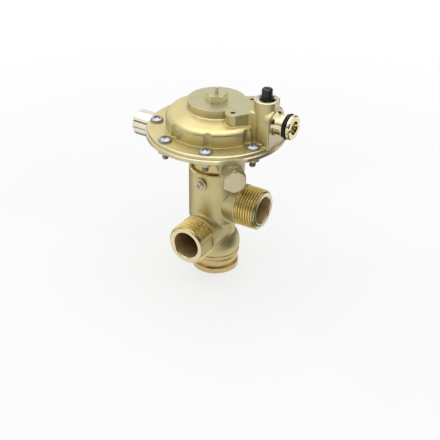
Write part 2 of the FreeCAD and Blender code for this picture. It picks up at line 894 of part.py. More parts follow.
def spigot_ring():
    """Sealing ring on the spigot."""
    middle = spigot_reach - spigot_nose - spigot_groove_w / 2
    ring = Part.makeTorus(spigot_groove_floor() + spigot_ring_r, spigot_ring_r, V(0, 0, middle))
    return radial(ring, 0, outlet_z)


# Regulator in the tower


def regulator_ring_floor():
    """Radius of the floor of the regulator's ring groove."""
    return tower_bore_r - regulator_gap - 2 * regulator_ring_r


def flow_regulator():
    """Slotted throttle plug, held in the tower by its flange and the circlip."""
    plug_r = tower_bore_r - regulator_gap
    tip_z = joint_z + tower_bore_floor + regulator_tip_gap
    ring_z = tower_mouth_z - regulator_ring_drop
    flange_end = tower_mouth_z + regulator_flange_t
    neck_end = tower_z + regulator_neck_rise
    top = tower_z + regulator_top_rise
    flange_r = tower_mouth_r - regulator_flange_gap
    edge = regulator_slot_w / 2
    plug = turned(
        (0, tip_z),
        (plug_r, tip_z),
        (plug_r, ring_z - regulator_ring_r),
        (regulator_ring_floor(), ring_z - regulator_ring_r),
        (regulator_ring_floor(), ring_z + regulator_ring_r),
        (plug_r, ring_z + regulator_ring_r),
        (plug_r, tower_mouth_z),
        (flange_r, tower_mouth_z),
        (flange_r, flange_end),
        (regulator_neck_r, flange_end),
        (regulator_neck_r, neck_end),
        (regulator_stub_r, neck_end),
        (regulator_stub_r, top - edge),
        (regulator_stub_r - edge, top),
        (0, top),
    )
    slot = block(2 * plug_r, regulator_slot_w, regulator_slot_depth, -plug_r, 0, top - regulator_slot_depth)
    notch = block(plug_r, 2 * plug_r, regulator_notch, 0, 0, tip_z)
    return moved(plug.cut([slot, notch]), tower_x, 0)


def regulator_ring():
    """Sealing ring on the regulator."""
    middle = tower_mouth_z - regulator_ring_drop
    ring_r = regulator_ring_floor() + regulator_ring_r
    return moved(Part.makeTorus(ring_r, regulator_ring_r, V(0, 0, middle)), tower_x, 0)


def regulator_circlip():
    """Internal circlip with two eared ends."""
    outer = tower_mouth_r + circlip_bite
    inner = outer - circlip_w
    half = math.radians(circlip_opening / 2)
    far = 2 * outer
    wedge = Part.Face(Part.makePolygon([
        V(0, 0, circlip_z),
        V(far * math.cos(half), -far * math.sin(half), circlip_z),
        V(far * math.cos(half), far * math.sin(half), circlip_z),
        V(0, 0, circlip_z),
    ])).extrude(V(0, 0, circlip_t))
    ring = tube(outer, inner, circlip_z, circlip_z + circlip_t).cut(wedge)
    ear_at = outer - circlip_ear_r - circlip_ear_gap
    turn = half + circlip_ear_r / ear_at
    ears = []
    holes = []
    for side in (-1, 1):
        x = ear_at * math.cos(turn)
        y = side * ear_at * math.sin(turn)
        ears.append(moved(rod(circlip_ear_r, circlip_z, circlip_z + circlip_t), x, y))
        holes.append(moved(rod(circlip_ear_r / 2, circlip_z, circlip_z + circlip_t), x, y))
    return moved(turned_to(joined([ring] + ears).cut(holes), circlip_turn), tower_x, 0)


# Diaphragm, plates and spindle


def diaphragm():
    """Dished rubber diaphragm with a clamped bead round its rim."""
    half = diaphragm_t / 2
    hole = stem_thin_r + seat_gap
    bead_inner = bead_r - bead_w
    bead_low = joint_z - bead_h / 2 + bead_gap
    bead_high = joint_z + bead_h / 2 - bead_gap
    foot_edge_r = upper_plate_r + diaphragm_t
    brim_r = dome_inner_r - diaphragm_t
    floor = diaphragm_z
    return turned(
        (hole, floor),
        (foot_edge_r + half, floor),
        (brim_r + diaphragm_t, joint_z - half),
        (bead_inner, joint_z - half),
        (bead_inner, bead_low),
        (bead_r, bead_low),
        (bead_r, bead_high),
        (bead_inner, bead_high),
        (bead_inner, joint_z + half),
        (brim_r, joint_z + half),
        (foot_edge_r - half, floor + diaphragm_t),
        (hole, floor + diaphragm_t),
    )


def plate(radius, low):
    """Round plate that backs the diaphragm, with a rounded edge."""
    edge = plate_t / 2
    return turned(
        (stem_thin_r + seat_gap, low),
        (radius - edge, low),
        ((radius - edge, low + edge), (radius, low + edge)),
        ((radius - edge, low + edge), (radius - edge, low + plate_t)),
        (stem_thin_r + seat_gap, low + plate_t),
    )


def diaphragm_nut():
    """Nut that clamps the plates on the spindle."""
    nut = hexagon(nut_hex, nut_z, nut_z + nut_h)
    return nut.cut(rod(stem_thin_r + seat_gap, nut_z, nut_z + nut_h))


def valve_stem():
    """Spindle from the diaphragm down to the lower disc, with two clip grooves."""
    upper_clip_z = seat_z - clip_t
    lower_clip_z = tail_shoulder_z - disc_seal_t - disc_t - clip_t
    tip_z = lower_clip_z - clip_t
    thin_groove = stem_thin_r - clip_bite
    tail_groove = stem_tail_r - clip_bite
    return turned(
        (0, tip_z),
        (stem_tail_r, tip_z),
        (stem_tail_r, lower_clip_z),
        (tail_groove, lower_clip_z),
        (tail_groove, lower_clip_z + clip_t),
        (stem_tail_r, lower_clip_z + clip_t),
        (stem_tail_r, tail_shoulder_z),
        (stem_thin_r, tail_shoulder_z),
        (stem_thin_r, upper_clip_z),
        (thin_groove, upper_clip_z),
        (thin_groove, seat_z),
        (stem_thin_r, seat_z),
        (stem_thin_r, disc_shoulder_z),
        (stem_r, disc_shoulder_z),
        (stem_r, stem_shoulder_z),
        (stem_thin_r, stem_shoulder_z),
        (stem_thin_r, stem_top_z),
        (0, stem_top_z),
    )


def switch_pin():
    """Pin that rises out of the cover when the spindle lifts."""
    tip = plateau_z + pin_rise
    edge = pin_r / 4
    return turned(
        (0, stem_top_z),
        (pin_head_r, stem_top_z),
        (pin_head_r, stem_top_z + pin_head_h),
        (pin_r, stem_top_z + pin_head_h),
        (pin_r, tip - edge),
        (pin_r - edge, tip),
        (0, tip),
    )


def stem_clip(groove_r, low):
    """Open clip in a groove of the spindle."""
    half = math.radians(clip_opening / 2)
    far = 2 * clip_r
    wedge = Part.Face(Part.makePolygon([
        V(0, 0, low),
        V(far * math.cos(half), -far * math.sin(half), low),
        V(far * math.cos(half), far * math.sin(half), low),
        V(0, 0, low),
    ])).extrude(V(0, 0, clip_t))
    return tube(clip_r, groove_r + seat_gap, low, low + clip_t).cut(wedge)


def stem_clips():
    """The two clips that hold the discs on the spindle."""
    lower = tail_shoulder_z - disc_seal_t - disc_t - clip_t
    return Part.makeCompound([
        stem_clip(stem_thin_r - clip_bite, seat_z - clip_t),
        stem_clip(stem_tail_r - clip_bite, lower),
    ])


def upper_disc():
    """Valve disc over the upper seat, with a hub that centres the spring."""
    return turned(
        (stem_thin_r + seat_gap, disc_z),
        (disc_r, disc_z),
        (disc_r, disc_shoulder_z - disc_t / 2),
        (disc_hub_r, disc_shoulder_z - disc_t / 2),
        (disc_hub_r, disc_shoulder_z),
        (stem_thin_r + seat_gap, disc_shoulder_z),
    )


def lower_disc():
    """Valve disc under the lower seat."""
    top = tail_shoulder_z - disc_seal_t
    low = top - disc_t
    edge = disc_t / 2
    return turned(
        (stem_tail_r + seat_gap, low),
        (lower_disc_r - edge, low),
        (lower_disc_r, low + edge),
        (lower_disc_r, top),
        (stem_tail_r + seat_gap, top),
    )


def lower_disc_seal():
    """Flat seal on top of the lower disc."""
    radius = lower_disc_r - (disc_r - disc_seal_r)
    return tube(radius, stem_tail_r + seat_gap, tail_shoulder_z - disc_seal_t, tail_shoulder_z)


def lower_seat_ring():
    """Seat ring fitted into the bottom port against its ledge."""
    rim_z = lower_seat_z + seat_rim_h
    return turned(
        (seat_r, lower_seat_z),
        (seat_r + seat_rim_w, lower_seat_z),
        (seat_r + seat_rim_w, rim_z),
        (bottom_bore_r - seat_gap, rim_z),
        (bottom_bore_r - seat_gap, lower_ledge_z),
        (seat_r, lower_ledge_z),
    )


# Glands, rings and spring


def gland_nut():
    """Hexagon gland that guides the pin through the cover."""
    corner = gland_hex / math.sqrt(3)
    top = plateau_z + gland_hex_h
    chamfer = corner - gland_hex / 2
    limit = turned(
        (0, plateau_z),
        (corner, plateau_z),
        (corner, top - chamfer / 2),
        (corner - chamfer, top),
        (0, top),
    )
    head = turned_to(hexagon(gland_hex, plateau_z, top), gland_turn).common(limit)
    shank = rod(gland_thread_r, gland_seal_z + gland_seal_h, plateau_z)
    return joined([head, shank]).cut(rod(pin_r + run_gap, gland_seal_z, top))


def stem_gland():
    """Bush that closes the neck and guides the spindle."""
    seal_low = cup_floor_z + stem_seal_rise
    bush = rod(stem_gland_r, cup_floor_z, cup_floor_z + neck_floor_t)
    flange = rod(stem_gland_flange_r, stem_gland_z, cup_floor_z)
    bore = rod(stem_r + run_gap, stem_gland_z, cup_floor_z + neck_floor_t)
    room = rod(stem_seal_r + seat_gap, seal_low, seal_low + stem_seal_h)
    return joined([flange, bush]).cut([bore, room])


def stem_seal():
    """Seal in the bush, round the spindle."""
    low = cup_floor_z + stem_seal_rise
    return tube(stem_seal_r, stem_r + run_gap, low, low + stem_seal_h)


def neck_rings():
    """Sealing rings between the neck and the body's cup."""
    ring_r = neck_r - ring_cord_r
    rings = [Part.makeTorus(ring_r, ring_cord_r, V(0, 0, cup_floor_z + offset)) for offset in ring_offsets]
    return Part.makeCompound(rings)


def return_spring():
    """Compression spring between the neck's gland and the upper disc."""
    low = disc_shoulder_z - disc_t / 2 + spring_wire_r
    high = stem_gland_z - spring_wire_r
    path = Part.makeHelix((high - low) / spring_turns, high - low, spring_mean_r)
    section = Part.Wire(Part.makeCircle(spring_wire_r, V(spring_mean_r, 0, 0), V(0, 1, 0)))
    coil = Part.Wire(path).makePipeShell([section], True, True)
    return moved(Part.Solid(coil) if coil.ShapeType == "Shell" else coil, 0, 0, low)


save("valve_body", valve_body())
save("lower_housing", lower_housing())
save("upper_cover", upper_cover())
save("cover_screws", cover_screws())
save("lock_screw", lock_screw())
save("hex_plug", hex_plug())
save("plug_washer", plug_washer())
save("inlet_tube", inlet_tube())
save("outlet_spigot", outlet_spigot())
save("spigot_ring", spigot_ring())
save("flow_regulator", flow_regulator())
save("regulator_ring", regulator_ring())
save("regulator_circlip", regulator_circlip())
save("diaphragm", diaphragm())
save("upper_plate", plate(upper_plate_r, upper_plate_z))
save("lower_plate", plate(lower_plate_r, stem_shoulder_z))
save("diaphragm_nut", diaphragm_nut())
save("valve_stem", valve_stem())
save("switch_pin", switch_pin())
save("stem_clips", stem_clips())
save("upper_disc", upper_disc())
save("upper_disc_seal", tube(disc_seal_r, stem_thin_r + seat_gap, seat_z, disc_z))
save("lower_disc", lower_disc())
save("lower_disc_seal", lower_disc_seal())
save("lower_seat_ring", lower_seat_ring())
save("gland_nut", gland_nut())
save("gland_seal", tube(gland_thread_r, pin_r + run_gap, gland_seal_z, gland_seal_z + gland_seal_h))
save("stem_gland", stem_gland())
save("stem_seal", stem_seal())
save("neck_rings", neck_rings())
save("return_spring", return_spring())
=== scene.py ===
"""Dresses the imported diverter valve: castings, threads, fasteners, seals, spindle and a plain stage."""

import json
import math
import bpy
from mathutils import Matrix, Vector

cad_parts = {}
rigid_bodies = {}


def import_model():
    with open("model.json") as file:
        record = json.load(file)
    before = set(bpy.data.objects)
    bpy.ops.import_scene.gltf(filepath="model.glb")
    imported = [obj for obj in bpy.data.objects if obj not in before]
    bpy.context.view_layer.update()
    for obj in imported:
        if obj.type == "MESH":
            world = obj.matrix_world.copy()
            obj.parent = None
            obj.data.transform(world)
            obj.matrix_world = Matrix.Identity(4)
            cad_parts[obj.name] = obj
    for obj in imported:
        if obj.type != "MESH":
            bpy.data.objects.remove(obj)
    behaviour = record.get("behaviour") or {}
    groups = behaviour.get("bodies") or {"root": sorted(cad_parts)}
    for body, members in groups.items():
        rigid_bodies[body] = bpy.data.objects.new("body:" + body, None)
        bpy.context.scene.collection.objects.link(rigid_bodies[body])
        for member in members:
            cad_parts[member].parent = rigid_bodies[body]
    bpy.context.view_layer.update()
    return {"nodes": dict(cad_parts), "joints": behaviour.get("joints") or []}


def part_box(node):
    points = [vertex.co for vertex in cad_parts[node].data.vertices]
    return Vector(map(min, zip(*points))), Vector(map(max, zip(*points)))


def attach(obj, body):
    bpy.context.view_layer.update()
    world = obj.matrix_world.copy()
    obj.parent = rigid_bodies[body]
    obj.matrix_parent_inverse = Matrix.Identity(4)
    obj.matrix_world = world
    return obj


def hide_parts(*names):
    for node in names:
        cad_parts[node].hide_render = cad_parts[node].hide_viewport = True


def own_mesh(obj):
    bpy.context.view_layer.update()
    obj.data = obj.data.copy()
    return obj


bl_info = {
    "name": "Diverter valve",
    "version": (1, 0, 0),
    "blender": (4, 5, 0),
    "location": "View3D > Sidebar > Valve",
    "description": "Gives the packed diverter valve its castings, threads, finishes and stage",
    "category": "Object",
}

import bmesh
import bpy
import numpy as np
from mathutils import Matrix, Vector

for leftover in list(bpy.data.objects):
    bpy.data.objects.remove(leftover)
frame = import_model()
MM = 0.001

# Heights of the axes of the side ports, the inlet tube and the outlet spigot
UPPER_PORT_Z = 50.75 * MM
LOWER_PORT_Z = 31.1 * MM
TUBE_Z = 88.0 * MM
SPIGOT_Z = 113.5 * MM
# Distances along a side port, out from the spindle axis
BORE_FLOOR = 18.0 * MM
PORT_CUT = 21.55 * MM
RUN_OUT = 22.3 * MM
LEAD = 34.0 * MM
PORT_END = 35.5 * MM
# Radius of the groove behind a port's thread, and the distance of the lower port's flat from its axis
RELIEF_R = 12.6 * MM
LOWER_FLAT_X = 11.6 * MM
# Groove and bore of a side port as radius and distance from the spindle axis, in millimetres
PORT_GROOVE = ((12.6, 21.5), (12.6, 22.0))
PORT_BORE = ((9.5, 35.5), (9.4, 35.5), (8.85, 34.95), (8.8, 34.85), (8.8, 27.0), (8.8, 18.0), (5.2, 18.0))


# Sizes and colours a user would change


class ValveThreads(bpy.types.PropertyGroup):
    """Threads of the two side ports and of the screws."""

    pitch: bpy.props.FloatProperty(
        name="Port pitch", description="Distance between two turns of the pipe thread",
        default=1.814 * MM, precision=5, unit="LENGTH")
    crest: bpy.props.FloatProperty(
        name="Port crest radius", description="Outer radius of the pipe thread",
        default=13.22 * MM, precision=5, unit="LENGTH")
    root: bpy.props.FloatProperty(
        name="Port root radius", description="Radius at the bottom of the pipe thread",
        default=12.06 * MM, precision=5, unit="LENGTH")
    screw_pitch: bpy.props.FloatProperty(
        name="Screw pitch", description="Distance between two turns of a screw",
        default=0.7 * MM, precision=5, unit="LENGTH")


class ValveFinishes(bpy.types.PropertyGroup):
    """Colours of the visible finishes."""

    cast: bpy.props.FloatVectorProperty(
        name="Blasted brass", description="Colour of the castings",
        size=3, subtype="COLOR", min=0, max=1, default=(0.66, 0.575, 0.30))
    cast_dark: bpy.props.FloatVectorProperty(
        name="Blasted brass, dark", description="Darker patches of the castings",
        size=3, subtype="COLOR", min=0, max=1, default=(0.58, 0.495, 0.24))
    bright: bpy.props.FloatVectorProperty(
        name="Turned brass", description="Colour of the turned faces",
        size=3, subtype="COLOR", min=0, max=1, default=(0.80, 0.71, 0.45))
    thread: bpy.props.FloatVectorProperty(
        name="Thread brass", description="Colour of the cut threads",
        size=3, subtype="COLOR", min=0, max=1, default=(0.90, 0.73, 0.30))
    zinc: bpy.props.FloatVectorProperty(
        name="Zinc plate", description="Colour of the flange screws, spindle, plates and spring",
        size=3, subtype="COLOR", min=0, max=1, default=(0.42, 0.415, 0.425))
    rubber: bpy.props.FloatVectorProperty(
        name="Rubber", description="Colour of the sealing rings and the diaphragm",
        size=3, subtype="COLOR", min=0, max=1, default=(0.012, 0.012, 0.013))
    plastic: bpy.props.FloatVectorProperty(
        name="Black plastic", description="Colour of the regulator",
        size=3, subtype="COLOR", min=0, max=1, default=(0.010, 0.010, 0.011))
    # Painted shade: the bore colour is darker than the turned brass to stand for the shade inside the
    # ports.
    bore: bpy.props.FloatVectorProperty(
        name="Bore", description="Colour inside the ports",
        size=3, subtype="COLOR", min=0, max=1, default=(0.54, 0.37, 0.16))
    fibre: bpy.props.FloatVectorProperty(
        name="Fibre", description="Colour of the plug's washer",
        size=3, subtype="COLOR", min=0, max=1, default=(0.62, 0.53, 0.32))
    gold: bpy.props.FloatVectorProperty(
        name="Golden brass", description="Colour of the neck and the foot",
        size=3, subtype="COLOR", min=0, max=1, default=(0.62, 0.48, 0.23))
    milled: bpy.props.FloatVectorProperty(
        name="Milled brass", description="Colour of the cover's flat top",
        size=3, subtype="COLOR", min=0, max=1, default=(0.50, 0.46, 0.28))
    spring_steel: bpy.props.FloatVectorProperty(
        name="Spring steel", description="Colour of the circlip, the pin and the lock screw",
        size=3, subtype="COLOR", min=0, max=1, default=(0.74, 0.69, 0.58))
    tube: bpy.props.FloatVectorProperty(
        name="Pale brass", description="Colour of the inlet tube",
        size=3, subtype="COLOR", min=0, max=1, default=(0.84, 0.79, 0.62))


class ValveStage(bpy.types.PropertyGroup):
    """Camera, lamp and floor."""

    place: bpy.props.FloatVectorProperty(
        name="Camera place", description="Where the camera stands",
        size=3, subtype="TRANSLATION", unit="LENGTH", default=(0.2954, -0.4709, 0.3702))
    azimuth: bpy.props.FloatProperty(
        name="Azimuth", description="Camera's bearing round the valve",
        subtype="ANGLE", default=math.radians(31.8))
    elevation: bpy.props.FloatProperty(
        name="Elevation", description="Camera's height angle",
        subtype="ANGLE", default=math.radians(31.31))
    roll: bpy.props.FloatProperty(
        name="Roll", description="Camera's tilt about its own axis",
        subtype="ANGLE", default=math.radians(0.65))
    lens: bpy.props.FloatProperty(
        name="Focal length", description="Lens on a 36 mm sensor, in millimetres",
        unit="CAMERA", default=80.9)
    lamp_size: bpy.props.FloatProperty(
        name="Lamp size", description="Side of the square lamp over the valve",
        unit="LENGTH", default=1.45)
    lamp_power: bpy.props.FloatProperty(
        name="Lamp power", description="Power of the lamp over the valve",
        unit="POWER", default=8.0)
    floor: bpy.props.FloatVectorProperty(
        name="Floor", description="Colour of the floor",
        size=3, subtype="COLOR", min=0, max=1, default=(0.95, 0.95, 0.95))
    lift: bpy.props.FloatProperty(
        name="Lift", description="Share of plain white in the floor near the valve",
        subtype="FACTOR", min=0, max=1, default=0.72)
    ambient: bpy.props.FloatProperty(
        name="Ambient", description="Strength of the even light",
        default=0.46)


# Material helpers


class Nodes:
    """Short way to add and join the nodes of one material."""

    def __init__(self, name):
        self.material = bpy.data.materials.new(name)
        self.material.use_nodes = True
        self.tree = self.material.node_tree
        self.shader = self.tree.nodes["Principled BSDF"]

    def add(self, kind, **values):
        node = self.tree.nodes.new(kind)
        for key, value in values.items():
            setattr(node, key, value)
        return node

    def join(self, source, target):
        self.tree.links.new(source, target)

    def noise(self, scale, detail, stretch=(1, 1, 1)):
        """Noise in the valve's own coordinates, in features per metre."""
        place = self.add("ShaderNodeTexCoord")
        mapping = self.add("ShaderNodeMapping")
        mapping.inputs["Scale"].default_value = stretch
        self.join(place.outputs["Object"], mapping.inputs["Vector"])
        texture = self.add("ShaderNodeTexNoise")
        texture.inputs["Scale"].default_value = scale
        texture.inputs["Detail"].default_value = detail
        self.join(mapping.outputs["Vector"], texture.inputs["Vector"])
        return texture.outputs["Fac"]

    def ramp(self, value, low, high, dark, light):
        """Colour that runs from dark to light between two values."""
        ramp = self.add("ShaderNodeValToRGB")
        first, last = ramp.color_ramp.elements
        first.position, last.position = low, high
        first.color, last.color = (*dark, 1), (*light, 1)
        self.join(value, ramp.inputs["Fac"])
        return ramp.outputs["Color"]

    def span(self, value, low, high):
        """Noise value brought into a range."""
        noise_low, noise_high = 0.3, 0.7
        node = self.add("ShaderNodeMapRange")
        node.inputs["From Min"].default_value = noise_low
        node.inputs["From Max"].default_value = noise_high
        node.inputs["To Min"].default_value = low
        node.inputs["To Max"].default_value = high
        self.join(value, node.inputs["Value"])
        return node.outputs["Result"]

    def bump(self, height, strength, depth, base=None):
        """Surface relief of a given depth in metres."""
        node = self.add("ShaderNodeBump")
        node.inputs["Strength"].default_value = strength
        node.inputs["Distance"].default_value = depth
        self.join(height, node.inputs["Height"])
        if base is not None:
            self.join(base, node.inputs["Normal"])
        return node.outputs["Normal"]

    def soft_edges(self, radius):
        """Normals rounded over edges and into corners."""
        node = self.add("ShaderNodeBevel", samples=6)
        node.inputs["Radius"].default_value = radius
        return node.outputs["Normal"]

    def edge_highlight_mask(self, radius):
        """0 on plain faces, up to 1 along the edges, from how far the normals turn there; it masks the
        painted edge highlights.
        """
        plain, edge = 0.995, 0.9
        place = self.add("ShaderNodeNewGeometry")
        match = self.add("ShaderNodeVectorMath", operation="DOT_PRODUCT")
        self.join(self.soft_edges(radius), match.inputs[0])
        self.join(place.outputs["Normal"], match.inputs[1])
        node = self.add("ShaderNodeMapRange")
        node.inputs["From Min"].default_value = plain
        node.inputs["From Max"].default_value = edge
        self.join(match.outputs["Value"], node.inputs["Value"])
        return node.outputs["Result"]

    def mixed(self, share, first, second):
        """Colour that goes from a linked one to a plain one."""
        # The node's sockets for colours share their names with its others, so they go by number
        factor, colour_a, colour_b, colour_out = 0, 6, 7, 2
        node = self.add("ShaderNodeMix", data_type="RGBA")
        self.join(share, node.inputs[factor])
        self.join(first, node.inputs[colour_a])
        node.inputs[colour_b].default_value = (*second, 1)
        return node.outputs[colour_out]

    def off_axis(self, axis, centre):
        """Distance from an axis through a centre, in metres."""
        place = self.add("ShaderNodeTexCoord")
        flat = self.add("ShaderNodeMapping")
        flat.inputs["Location"].default_value = [-value for value in centre]
        flat.inputs["Scale"].default_value = [0 if name == axis else 1 for name in "XYZ"]
        self.join(place.outputs["Object"], flat.inputs["Vector"])
        size = self.add("ShaderNodeVectorMath", operation="LENGTH")
        self.join(flat.outputs["Vector"], size.inputs[0])
        return size.outputs["Value"]

    def to(self, socket, value):
        """Joins a node's output to one of the shader's sockets."""
        self.join(value, self.shader.inputs[socket])

    def set(self, **values):
        """Plain values of the shader's own sockets."""
        for key, value in values.items():
            self.shader.inputs[key.replace("_", " ")].default_value = value


def shade(colour, factor):
    """Colour made darker or lighter."""
    return tuple(min(1.0, channel * factor) for channel in colour)


def cast_brass(finishes):
    """Blasted casting: satin, finely grained, a little patchy, with painted highlights along the edges."""
    made = Nodes("blasted_brass")
    made.set(Metallic=1.0)
    patches = made.ramp(made.noise(55, 3), 0.35, 0.65, finishes.cast_dark, finishes.cast)
    # Painted highlight: the edges are 1.35 times lighter than the casting.
    edge_highlight = made.edge_highlight_mask(0.0007)
    made.to("Base Color", made.mixed(edge_highlight, patches, shade(finishes.cast, 1.35)))
    made.to("Roughness", made.span(made.noise(900, 4), 0.36, 0.48))
    grain = made.bump(made.noise(2600, 3), 0.3, 0.00012, made.soft_edges(0.0006))
    made.to("Normal", grain)
    return made.material


# Length of one line of the wave texture at scale 1
WAVE_LINE = 0.314


def lathe_marks(made, axis, pitch):
    """Fine turning lines: rings on faces square to the axis, bands on the round faces."""
    place = made.add("ShaderNodeTexCoord")
    bands = made.add("ShaderNodeTexWave", wave_type="BANDS", bands_direction=axis, wave_profile="SIN")
    rings = made.add("ShaderNodeTexWave", wave_type="RINGS", rings_direction=axis, wave_profile="SIN")
    mapping = made.add("ShaderNodeMapping")
    made.join(place.outputs["Object"], mapping.inputs["Vector"])
    for wave in (bands, rings):
        wave.inputs["Scale"].default_value = WAVE_LINE / pitch
        wave.inputs["Distortion"].default_value = 1.5
        wave.inputs["Detail"].default_value = 2.0
        wave.inputs["Detail Scale"].default_value = 0.5
        made.join(mapping.outputs["Vector"], wave.inputs["Vector"])
    parts = made.add("ShaderNodeSeparateXYZ")
    made.join(place.outputs["Normal"], parts.inputs["Vector"])
    size = made.add("ShaderNodeMath", operation="ABSOLUTE")
    made.join(parts.outputs[axis], size.inputs[0])
    mix = made.add("ShaderNodeMix", data_type="FLOAT")
    made.join(size.outputs["Value"], mix.inputs["Factor"])
    made.join(bands.outputs["Fac"], mix.inputs["A"])
    made.join(rings.outputs["Fac"], mix.inputs["B"])
    return mix.outputs["Result"], mapping


def turned_brass(name, finishes, axis, centre=(0, 0, 0), rough=(0.12, 0.2), colour=None, lines=0.12):
    """Bright brass with lathe lines about one axis through a centre, and painted highlights along the
    edges.
    """
    made = Nodes(name)
    made.set(Metallic=1.0)
    tone = colour or tuple(finishes.bright)
    worn = made.ramp(made.noise(120, 3), 0.3, 0.7, shade(tone, 0.92), tone)
    # Painted highlight: the edges are 1.35 times lighter than the tone.
    made.to("Base Color", made.mixed(made.edge_highlight_mask(0.0005), worn, shade(tone, 1.35)))
    made.to("Roughness", made.span(made.noise(500, 3), *rough))
    marks, mapping = lathe_marks(made, axis, 0.00035)
    mapping.inputs["Location"].default_value = tuple(-value for value in centre)
    made.to("Normal", made.bump(marks, lines, 0.00003, made.soft_edges(0.00025)))
    return made.material


def thread_brass(name, finishes, axis, centre):
    """Cut thread: golden crests, roots darkened as painted shade, and fine drag marks."""
    made = Nodes(name)
    made.set(Metallic=1.0)
    tone = tuple(finishes.thread)
    shaded_root_r, lit_crest_r = 12.1 * MM, 13.1 * MM
    depth = made.add("ShaderNodeMapRange")
    depth.inputs["From Min"].default_value = shaded_root_r
    depth.inputs["From Max"].default_value = lit_crest_r
    made.join(made.off_axis(axis, centre), depth.inputs["Value"])
    # Painted shade: the colour darkens from the crests to the roots, to 0.6 of the thread colour.
    made.to("Base Color", made.ramp(depth.outputs["Result"], 0.1, 0.9, shade(tone, 0.6), tone))
    made.to("Roughness", made.span(made.noise(1500, 4), 0.2, 0.34))
    made.to("Normal", made.bump(made.noise(3000, 3), 0.1, 0.00005))
    return made.material


def shaded_bore(finishes):
    """Drilled brass inside the ports, darker and duller than the turned faces as painted shade."""
    made = Nodes("shaded_bore")
    made.set(Metallic=0.4)
    tone = tuple(finishes.bore)
    made.to("Base Color", made.ramp(made.noise(160, 4), 0.3, 0.7, shade(tone, 0.7), tone))
    made.to("Roughness", made.span(made.noise(700, 3), 0.4, 0.55))
    made.to("Normal", made.bump(made.noise(1500, 3, (1, 1, 4)), 0.15, 0.00008))
    return made.material


def plain_steel(name, tone, metallic=1.0):
    """Plated or bare steel of the screws, clips, pin and spring."""
    made = Nodes(name)
    made.set(Metallic=metallic)
    made.to("Base Color", made.ramp(made.noise(400, 3), 0.3, 0.7, shade(tone, 0.88), tone))
    made.to("Roughness", made.span(made.noise(1200, 4), 0.28, 0.42))
    made.to("Normal", made.bump(made.noise(5000, 2), 0.08, 0.00003))
    return made.material


def sealing_rubber(finishes):
    """Matt black rubber with a faint grain."""
    made = Nodes("sealing_rubber")
    made.set(Specular_IOR_Level=0.2)
    tone = tuple(finishes.rubber)
    made.to("Base Color", made.ramp(made.noise(300, 3), 0.3, 0.7, shade(tone, 0.8), shade(tone, 1.3)))
    made.to("Roughness", made.span(made.noise(900, 3), 0.28, 0.4))
    made.to("Normal", made.bump(made.noise(2500, 3), 0.12, 0.00005))
    return made.material


def moulded_plastic(finishes):
    """Black moulded plastic of the regulator."""
    made = Nodes("moulded_plastic")
    made.set(Specular_IOR_Level=0.4)
    tone = tuple(finishes.plastic)
    made.to("Base Color", made.ramp(made.noise(250, 2), 0.3, 0.7, shade(tone, 0.8), shade(tone, 1.4)))
    made.to("Roughness", made.span(made.noise(800, 3), 0.12, 0.2))
    made.to("Normal", made.bump(made.noise(3500, 3), 0.15, 0.00005, made.soft_edges(0.0003)))
    return made.material


def pressed_fibre(finishes):
    """Pale fibre of the plug's washer."""
    made = Nodes("pressed_fibre")
    tone = tuple(finishes.fibre)
    made.to("Base Color", made.ramp(made.noise(1200, 5), 0.3, 0.7, shade(tone, 0.7), tone))
    made.to("Roughness", made.span(made.noise(1000, 3), 0.7, 0.85))
    made.to("Normal", made.bump(made.noise(2500, 4), 0.3, 0.0001))
    return made.material


def plug_brass(finishes):
    """Drawn hexagon bar: satin faces."""
    made = Nodes("drawn_brass")
    made.set(Metallic=1.0)
    tone = shade(finishes.bright, 0.86)
    made.to("Base Color", made.ramp(made.noise(150, 3), 0.3, 0.7, shade(tone, 0.93), tone))
    made.to("Roughness", made.span(made.noise(600, 3), 0.3, 0.42))
    made.to("Normal", made.bump(made.noise(1800, 3), 0.1, 0.00005, made.soft_edges(0.0004)))
    return made.material


def gland_brass(finishes):
    """Hexagon nut: bright sides and a dull faced top."""
    made = Nodes("gland_brass")
    made.set(Metallic=0.6)
    place = made.add("ShaderNodeTexCoord")
    parts = made.add("ShaderNodeSeparateXYZ")
    made.join(place.outputs["Normal"], parts.inputs["Vector"])
    sides, top = shade(finishes.bright, 1.2), tuple(finishes.milled)
    made.to("Base Color", made.ramp(parts.outputs["Z"], 0.4, 0.9, sides, top))
    made.to("Roughness", made.span(made.noise(600, 3), 0.3, 0.4))
    made.to("Normal", made.bump(made.noise(1800, 3), 0.04, 0.00003, made.soft_edges(0.0003)))
    return made.material


FINISHES = {}


